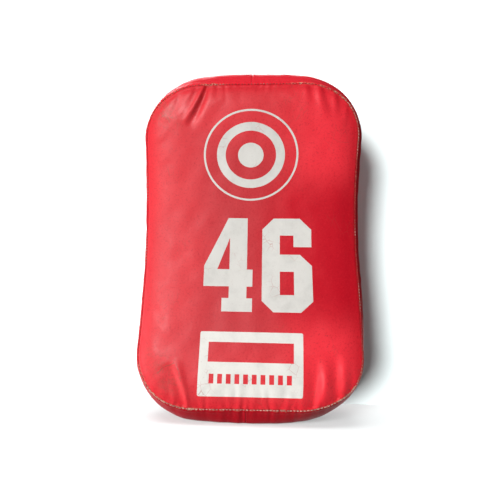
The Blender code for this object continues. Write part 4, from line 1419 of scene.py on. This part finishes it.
def turned(name, frame, profile, node_name):
    """A brass ring turned round a frame's Z from a closed profile of (radius, height) points."""
    rings = []
    for step in range(48):
        angle = 2 * pi * step / 48
        rings.append([frame @ Vector((r * cos(angle), r * sin(angle), z)) for r, z in profile])
    piece(Shape().skin(rings, looped=True).finished(name, BRASS, 40), "brass", node_name)


def joined(first, *others):
    """One object made of several."""
    bpy.ops.object.select_all(action="DESELECT")
    for made in (first, *others):
        made.select_set(True)
    bpy.context.view_layer.objects.active = first
    bpy.ops.object.join()
    return first


# Vents

# Closed profiles of (radius, height) points
LIP_RADIUS = 0.0008
EYELET = [(0.0044 - LIP_RADIUS * cos(turn), 0.0009 + LIP_RADIUS * sin(turn))
          for turn in np.linspace(0, pi / 2, 6)]
EYELET += [(0.0052, 0.00165), (0.0060, 0.00150), (0.0068, 0.00125), (0.0075, 0.00090), (0.0079, 0.00050),
           (0.0080, 0.0001), (0.0078, -0.0002), (0.0050, -0.0001), (0.0047, -0.0004), (0.0047, -0.0031),
           (0.0036, -0.0031)]
WASHER = [(0.0052, -0.0028), (0.0053, -0.0023), (0.0060, -0.0021), (0.0074, -0.0022), (0.0080, -0.0025),
          (0.0078, -0.0028)]


def vent_frame(side, s):
    """A frame on the wall at a vent, with Z out of it."""
    def point(along, depth):
        arc = SIDE_MIDDLE - along
        return Vector(wall_point(np.array(arc if side > 0 else PERIMETER - arc), np.array(depth)))
    step = 0.0005
    up = (point(s + step, VENT_DEPTH) - point(s - step, VENT_DEPTH)).normalized()
    across = (point(s, VENT_DEPTH + step) - point(s, VENT_DEPTH - step)).normalized()
    out = across.cross(up).normalized()
    if out.x * side < 0:
        out = -out
    frame = Matrix((up.cross(out), up, out)).transposed().to_4x4()
    frame.translation = point(s, VENT_DEPTH)
    return frame


for side_name, side in SIDES:
    for end_name, end in ENDS:
        name = side_name + "_" + end_name + "_vent"
        seat = vent_frame(side, end * VENT_S)
        turned(name + "_ring", seat, EYELET, name + "_eyelet")
        turned(name + "_back_ring", seat, WASHER, name + "_washer")


# Zipper

ZIP_FRAME = local_frame(0, ZIP_S)

# A tape's section in its frame, as (z, y) points
TAPE_EDGE = [(0.0004, -0.0031), (0.0004, -0.0021), (0.0009, -0.0017), (0.0016, -0.0017), (0.0022, -0.0021)]
TAPE_EDGE += [(z, -0.0022) for z in np.linspace(0.0034, 0.0138, 10)] + [(0.0144, -0.0025), (0.0144, -0.0029)]
TAPE_EDGE += [(z, -0.0031) for z in np.linspace(0.0134, 0.0014, 6)]

TOOTH_PITCH = 0.00254
TOOTH_HALF = 0.00056
TOOTH_TIP = -0.0011
TOOTH_ROOT = 0.0028


def zipper_tape(name, side, node_name):
    """A woven tape with a corded edge along the teeth."""
    half = ZIP_LENGTH / 2 + TAPE_OVERRUN
    stations = np.linspace(-half, half, 160)
    rings = []
    for x in stations:
        sways = [0.00012 * sin(x * 420 + z * 300) * min(1, z / 0.004) for z, _ in TAPE_EDGE]
        rings.append([ZIP_FRAME @ Vector((x, y + sway, side * z)) for (z, y), sway in zip(TAPE_EDGE, sways)])
    marks = {"across": [z for _ in stations for z, _ in TAPE_EDGE],
             "along": np.repeat(stations, len(TAPE_EDGE))}
    made = Shape().skin(rings, capped=True, flip=side < 0).finished(name, TAPE, 50, marks)
    piece(made, "zipper_tape", node_name)


zipper_tape("upper_tape", 1, "zipper_tape_upper")
zipper_tape("lower_tape", -1, "zipper_tape_lower")

teeth = Shape()
for i in range(int(ZIP_LENGTH / TOOTH_PITCH)):
    for side, shift in ((1, 0.25), (-1, 0.75)):
        x = -ZIP_LENGTH / 2 + (i + shift) * TOOTH_PITCH + 0.0001
        z_low, z_high = sorted((TOOTH_TIP * side, TOOTH_ROOT * side))
        teeth.block(ZIP_FRAME, (x - TOOTH_HALF, CHAIN_BASE, z_low),
                    (x + TOOTH_HALF, CHAIN_BASE + CHAIN_HEIGHT, z_high), 0.00026)
piece(teeth.finished("teeth", NICKEL, 25), "zipper_metal", "zipper_chain")

for side_name, side in SIDES:
    near = ZIP_LENGTH / 2 + 0.0006
    far = ZIP_LENGTH / 2 + GAP + STOP_LENGTH
    middle = side * (near + far) / 2
    stop = Shape()
    stop.block(ZIP_FRAME, (middle - (far - near) / 2, CHAIN_BASE, -0.0034),
               (middle + (far - near) / 2, CHAIN_BASE + 0.0018, 0.0034), 0.0005)
    for x in (middle - 0.0011, middle + 0.0011):
        stop.block(ZIP_FRAME, (x - 0.0007, CHAIN_BASE + 0.0012, -0.0030),
                   (x + 0.0007, CHAIN_BASE + CHAIN_HEIGHT + 0.0003, 0.0030), 0.0004)
    piece(stop.finished(side_name + "_stop", NICKEL, 25), "zipper_metal", "zipper_stop_" + side_name)

CLOSED = ZIP_LENGTH / 2 - SLIDER_LENGTH / 2 - GAP
SLIDER_FRAME = ZIP_FRAME @ Matrix.Translation((CLOSED, 0, 0))
PULL_FRAME = SLIDER_FRAME @ Matrix.Translation((0, PULL_AXIS_HEIGHT, 0))
PLATE_THICKNESS = 0.0012

# Half outlines: of the slider's plate and the pull tab as (x, z), and of the bridge as (x, y)
HALF_PLAN = [(-0.0080, 0.0030), (-0.0060, 0.0034), (-0.0020, 0.0038), (0.0020, 0.0045), (0.0048, 0.0047),
             (0.0072, 0.0040), (0.0080, 0.0026), (0.0066, 0.0010)]
HALF_ARCH = [(0.0, 0.0062), (0.0026, 0.0060), (0.0038, 0.0052), (0.0042, 0.0040), (0.0042, 0.0018),
             (0.0031, 0.0018), (0.0031, 0.0040), (0.0024, 0.0048), (0.0, 0.0050)]
HALF_TAB = [(-0.0340, 0.0037), (-0.0120, 0.0037), (-0.0075, 0.0030), (0.0007, 0.0030)]

plan = HALF_PLAN + [(x, -z) for x, z in HALF_PLAN[::-1]]
plate_frame = SLIDER_FRAME @ Matrix.Translation((0, SLIDER_TOP - PLATE_THICKNESS / 2, 0))
plate = flat_shape("slider", [rounded(plan, 0.0012)], PLATE_THICKNESS, 0.0003, plate_frame)
flanges = Shape()
for side in (-1, 1):
    z_low, z_high = sorted((side * 0.0031, side * 0.0043))
    flanges.block(SLIDER_FRAME, (-0.0072, CHAIN_BASE, z_low), (0.0034, SLIDER_TOP - 0.0004, z_high), 0.0004)
arch = HALF_ARCH + [(-x, y) for x, y in HALF_ARCH[-2:0:-1]]
upright = SLIDER_FRAME @ Matrix.Rotation(pi / 2, 4, "X")
bridge = flat_shape("slider_bridge", [[(x, -y) for x, y in arch]], 0.0018, 0.0004, upright)
slider = joined(plate, flanges.finished("slider_flanges", NICKEL), bridge)
piece(slider, "zipper_metal", "zipper_slider", body="zipper_slider")

tab = [(x, -z) for x, z in HALF_TAB[::-1]] + HALF_TAB
holes = [rounded(rectangle(-0.0052, 0.0015, -0.0007, -0.0015), 0.0007),
         rounded(rectangle(-0.0290, 0.0017, -0.0190, -0.0017), 0.0016)]
pull = flat_shape("pull", [rounded(tab, 0.0022), *holes], 0.0014, 0.0003, PULL_FRAME)
ribs = Shape()
for x in np.linspace(-0.0090, -0.0162, 5):
    ribs.block(PULL_FRAME, (x - 0.0004, 0.0005, -0.0024), (x + 0.0004, 0.0010, 0.0024), 0.00015)
piece(joined(pull, ribs.finished("pull_ribs", NICKEL)), "zipper_metal", "zipper_pull", body="zipper_pull")

# The rolled edge of the slit: how far out from the slit, and how high over the panel
HEM_PROFILE = ((0.0, 0.0002), (-0.0007, 0.0), (-0.0009, -0.0006), (-0.0004, -0.0012), (0.0010, -0.0014),
               (0.0060, -0.0015))
hem = []
for (x, s), (_, out_x, out_s) in zip(slit_loop(), SLIT_TURNS):
    depth = back_surface(np.array(x), np.array(s))
    hem.append([place(x + out_x * out, s + out_s * out, depth - up) for out, up in HEM_PROFILE])
piece(Shape().skin(hem, closed=False, looped=True, flip=True).finished("zipper_hem", RED_VINYL), "red_vinyl")

points = []
ups = []
for x, s in even_steps(slit_loop(HEM_STITCH), 0.0032):
    depth = back_surface(np.array(x), np.array(s)) - 0.0002
    points.append(Vector(place(x, s, depth)))
    ups.append((Vector(place(x, s, depth - 0.001)) - points[-1]).normalized())
runs = dashes(points + points[:1], ups, ONE_PER_EDGE, 0.72)
stitched("zipper_stitches", runs, PANEL_THREAD_RADIUS, SEAM_THREAD, "seam_thread")


# Handles

RIB_HEIGHT = 0.00012
WEB_EDGE = 0.0004
BOX_PITCH = 0.0027
BOX_HALVES = (0.0150, 0.0128)
CROSS_HALF = 0.0124
PATCH_SEAM = 0.0032
PATCH_TOP = 0.0019

# A patch's profile: how far inside its edge, and how high
PATCH_PROFILE = (
    (0.0, -0.0012), (0.0, 0.0006), (0.0003, 0.0011), (0.0010, 0.0014), (0.0022, 0.0013), (0.0032, 0.0010),
    (0.0042, 0.0014), (0.0060, 0.0018), (0.0100, PATCH_TOP), (0.0180, PATCH_TOP),
)

# Half the grip's straight part, and half the width and depth of its foam, outside and round the webbing
GRIP_STRAIGHT = 0.036
CORE_OUTSIDE = (0.0219, 0.0099)
CORE_BORE = (0.0203, 0.0020)

# Rows of a grip's rounded end: place along it, and the shares of its width and depth
SLEEVE_END = (
    (0.0425, 0.42, 0.26), (0.0440, 0.44, 0.30), (0.0458, 0.60, 0.44), (0.0470, 0.76, 0.60),
    (0.0472, 0.86, 0.74), (0.0462, 0.93, 0.86), (0.0440, 0.97, 0.94), (0.0410, 0.99, 0.98),
)
# Rows of the foam inside it: place along it, half width and half depth
CORE_END = (
    (0.0405, 0.0205, 0.0022), (0.0418, 0.0207, 0.0026), (0.0425, 0.0212, 0.0060), (0.0420, 0.0216, 0.0088),
    (0.0400, 0.0218, 0.0096),
)


def bezier(start, start_pull, end_pull, end, share):
    rest = 1 - share
    return (start * rest ** 3 + start_pull * 3 * rest ** 2 * share
            + end_pull * 3 * rest * share ** 2 + end * share ** 3)


def half_loop(frame, end):
    """The webbing's middle in a handle's frame: (z, y) points from a sewn end to the grip's middle."""
    anchor = frame.inverted() @ Vector(place(HANDLE_X, end * ANCHOR_Z, BACK_FACE))
    tip = frame.inverted() @ Vector(place(HANDLE_X, end * (ANCHOR_Z + SEWN_LENGTH), BACK_FACE))
    lift = WEB_BASE + WEB_THICKNESS / 2
    start = Vector((anchor.z, anchor.y + lift))
    outer = Vector((tip.z, tip.y + lift))
    root = start + (start - outer).normalized() * ROOT_PULL
    flat = Vector((end * LOOP_FLAT_Z, LOOP_HEIGHT))
    crest = flat + Vector((end * CREST_PULL, 0))
    points = [outer + (start - outer) * step / 20 for step in range(20)]
    points += [bezier(start, root, crest, flat, step / 40) for step in range(41)]
    return points + [Vector((flat.x * (1 - step / 16), LOOP_HEIGHT)) for step in range(1, 17)]


def strap(name, frame, nodes):
    """The handle's one strip of webbing, sewn down at both ends and bent out into a loop."""
    path = half_loop(frame, 1) + half_loop(frame, -1)[-2::-1]
    half = WEB_WIDTH / 2
    flat = half - 0.0011
    thick = WEB_THICKNESS / 2
    bevel = thick * 0.75
    section = [(-half, 0.0), (-half + WEB_EDGE, bevel)] + [(x, thick) for x in np.linspace(-flat, flat, 31)]
    section += [(half - WEB_EDGE, bevel), (half, 0.0), (half - WEB_EDGE, -bevel)]
    section += [(x, -thick) for x in np.linspace(flat, -flat, 11)] + [(-half + WEB_EDGE, -bevel)]
    ribbed = []
    for x, up in section:
        rib = RIB_HEIGHT * abs(sin(x * pi / RIB_PITCH)) if abs(up) == thick else 0.0
        ribbed.append((x, up + (rib if up > 0 else -rib)))
    rings = []
    lengths = [0.0]
    for before, here, after in zip(path[:1] + path, path, path[1:] + path[-1:]):
        run = (after - before).normalized()
        rings.append([frame @ Vector((x, here.y - run.x * up, here.x + run.y * up)) for x, up in ribbed])
        lengths.append(lengths[-1] + (here - before).length)
    marks = {"across": [x for _ in path for x, _ in section], "along": np.repeat(lengths[1:], len(section))}
    made = Shape().skin(rings, capped=True).finished(name, WEBBING, 60, marks)
    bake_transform(made)
    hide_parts(*nodes)


def patch_loop(inset, steps):
    """A loop round a patch, at a distance inside its edge."""
    half_w = PATCH_WIDTH / 2 - inset
    half_l = PATCH_LENGTH / 2 - inset
    return rectangle(-half_w, half_l, half_w, -half_l, max(PATCH_CORNER - inset, 0.0015), steps)


def patch(name, seat, node_name):
    """A reinforcing patch of the cover's own vinyl, sewn down round its edge."""
    rings = []
    for inset, up in PATCH_PROFILE:
        loop = cut_edges(patch_loop(inset, 6), lambda length: 10 if length > 0.02 else 1)
        rings.append([seat @ Vector((x, up, z)) for x, z in loop])
    rings.append([seat @ Vector((0, PATCH_TOP, 0))])
    piece(Shape().skin(rings, flip=True).finished(name, RED_VINYL, 60), "red_vinyl", node_name)


def grip_ring(columns, power):
    """Angles and points round a ring between a circle and a square."""
    for column in range(columns):
        angle = 2 * pi * column / columns
        c, s = cos(angle), sin(angle)
        reach = (abs(c) ** power + abs(s) ** power) ** (-1 / power)
        yield angle, c * reach, s * reach


def sleeve(name, frame, body, node_name):
    """The soft sleeve round the grip: a padded tube gathered at both ends, with a seam on its inner side."""
    rows = [*SLEEVE_END, *((z, 1.0, 1.0) for z in np.linspace(GRIP_STRAIGHT, -GRIP_STRAIGHT, 37))]
    rows += [(-z, wide, deep) for z, wide, deep in SLEEVE_END[::-1]]
    rings = []
    for z, wide, deep in rows:
        half_w = (GRIP_WIDTH / 2 - GAP) * wide
        half_d = (GRIP_DEPTH / 2 - GAP) * deep
        pleating = 0.030 * min(1.0, max(0.0, (abs(z) - 0.030) / 0.012))
        sewn = max(0.0, 2 * deep - 1)
        ring = []
        for angle, x, y in grip_ring(72, 2.7):
            pleat = 1 + pleating * cos(angle * 13 + sin(angle * 3) + (0.6 if z > 0 else 0))
            soft = 1 - 0.008 * (1 + sin(z * 170 + angle * 2) * sin(angle * 3 + z * 60))
            off = abs(angle - 1.5 * pi)
            seam = 0.0009 * bump_at(off, 0, 0.05) - 0.0006 * bump_at(off, 0.14, 0.06)
            across = half_w * x * pleat * soft
            out = half_d * y * pleat * soft + seam * sewn
            ring.append(frame @ Vector((across, LOOP_HEIGHT + out, z)))
        rings.append(ring)
    made = Shape().skin(rings, flip=True).finished(name, RED_VINYL)
    piece(made, "red_vinyl", node_name, body=body, fill=0.95)


def core(name, frame, body, node_name):
    """The foam tube inside the sleeve, round the webbing."""
    rows = [*CORE_END, *((z, *CORE_OUTSIDE) for z in np.linspace(GRIP_STRAIGHT, -GRIP_STRAIGHT, 13))]
    rows += [(-z, half_w, half_d) for z, half_w, half_d in CORE_END[::-1]]
    rows += [(z, *CORE_BORE) for z in np.linspace(-GRIP_STRAIGHT, GRIP_STRAIGHT, 7)]
    rings = []
    for z, half_w, half_d in rows:
        ring = grip_ring(48, 3.2)
        rings.append([frame @ Vector((half_w * x, LOOP_HEIGHT + half_d * y, z)) for _, x, y in ring])
    made = Shape().skin(rings, looped=True, flip=True).finished(name, FIRM_FOAM)
    piece(made, "firm_foam", node_name, body=body, fill=1.0)


def sewn_lines(seat, loop, height, pitch, share):
    """Stitch runs along a line of (x, z) points at a height over a seat."""
    points = [seat @ Vector((x, height, z)) for x, z in loop]
    return dashes(points, [seat.col[1].xyz] * len(points), pitch, share)


def box_stitches(name, seat, node_name):
    """The box with a cross in it that sews the webbing down, its sides twice over."""
    lines = []
    for half in BOX_HALVES:
        lines.append([(half, half), (-half, half), (-half, -half), (half, -half), (half, half)])
    end = CROSS_HALF
    lines += [[(-end, -end), (end, end)], [(-end, end), (end, -end)]]
    top = WEB_BASE + WEB_THICKNESS + 0.0002
    runs = [run for line in lines for run in sewn_lines(seat, line, top, BOX_PITCH, 0.68)]
    stitched(name, runs, BOX_THREAD_RADIUS, HANDLE_THREAD, "handle_thread", node_name)


def patch_stitches(name, seat):
    """The stitches round a patch's edge."""
    loop = even_steps(patch_loop(PATCH_SEAM, 5), 0.0032)
    runs = sewn_lines(seat, loop + loop[:1], 0.0012, ONE_PER_EDGE, 0.72)
    stitched(name, runs, PANEL_THREAD_RADIUS, SEAM_THREAD, "seam_thread")


for side_name, side in SIDES:
    body = side_name + "_handle"
    frame = local_frame(side * HANDLE_X, 0)
    for end_name, end in ENDS:
        prefix = body + "_" + end_name
        seat = local_frame(side * HANDLE_X, end * (ANCHOR_Z + SEWN_LENGTH / 2))
        patch(prefix + "_reinforcement", seat, prefix + "_patch")
        patch_stitches(prefix + "_edge_stitches", seat)
        box_stitches(prefix + "_box_stitches", seat, prefix + "_stitching")
    strap(body + "_strap", frame, [body + "_upper_web_end", body + "_lower_web_end", body + "_loop"])
    sleeve(body + "_sleeve", frame, body, body + "_grip_sleeve")
    core(body + "_core", frame, body, body + "_grip_pad")
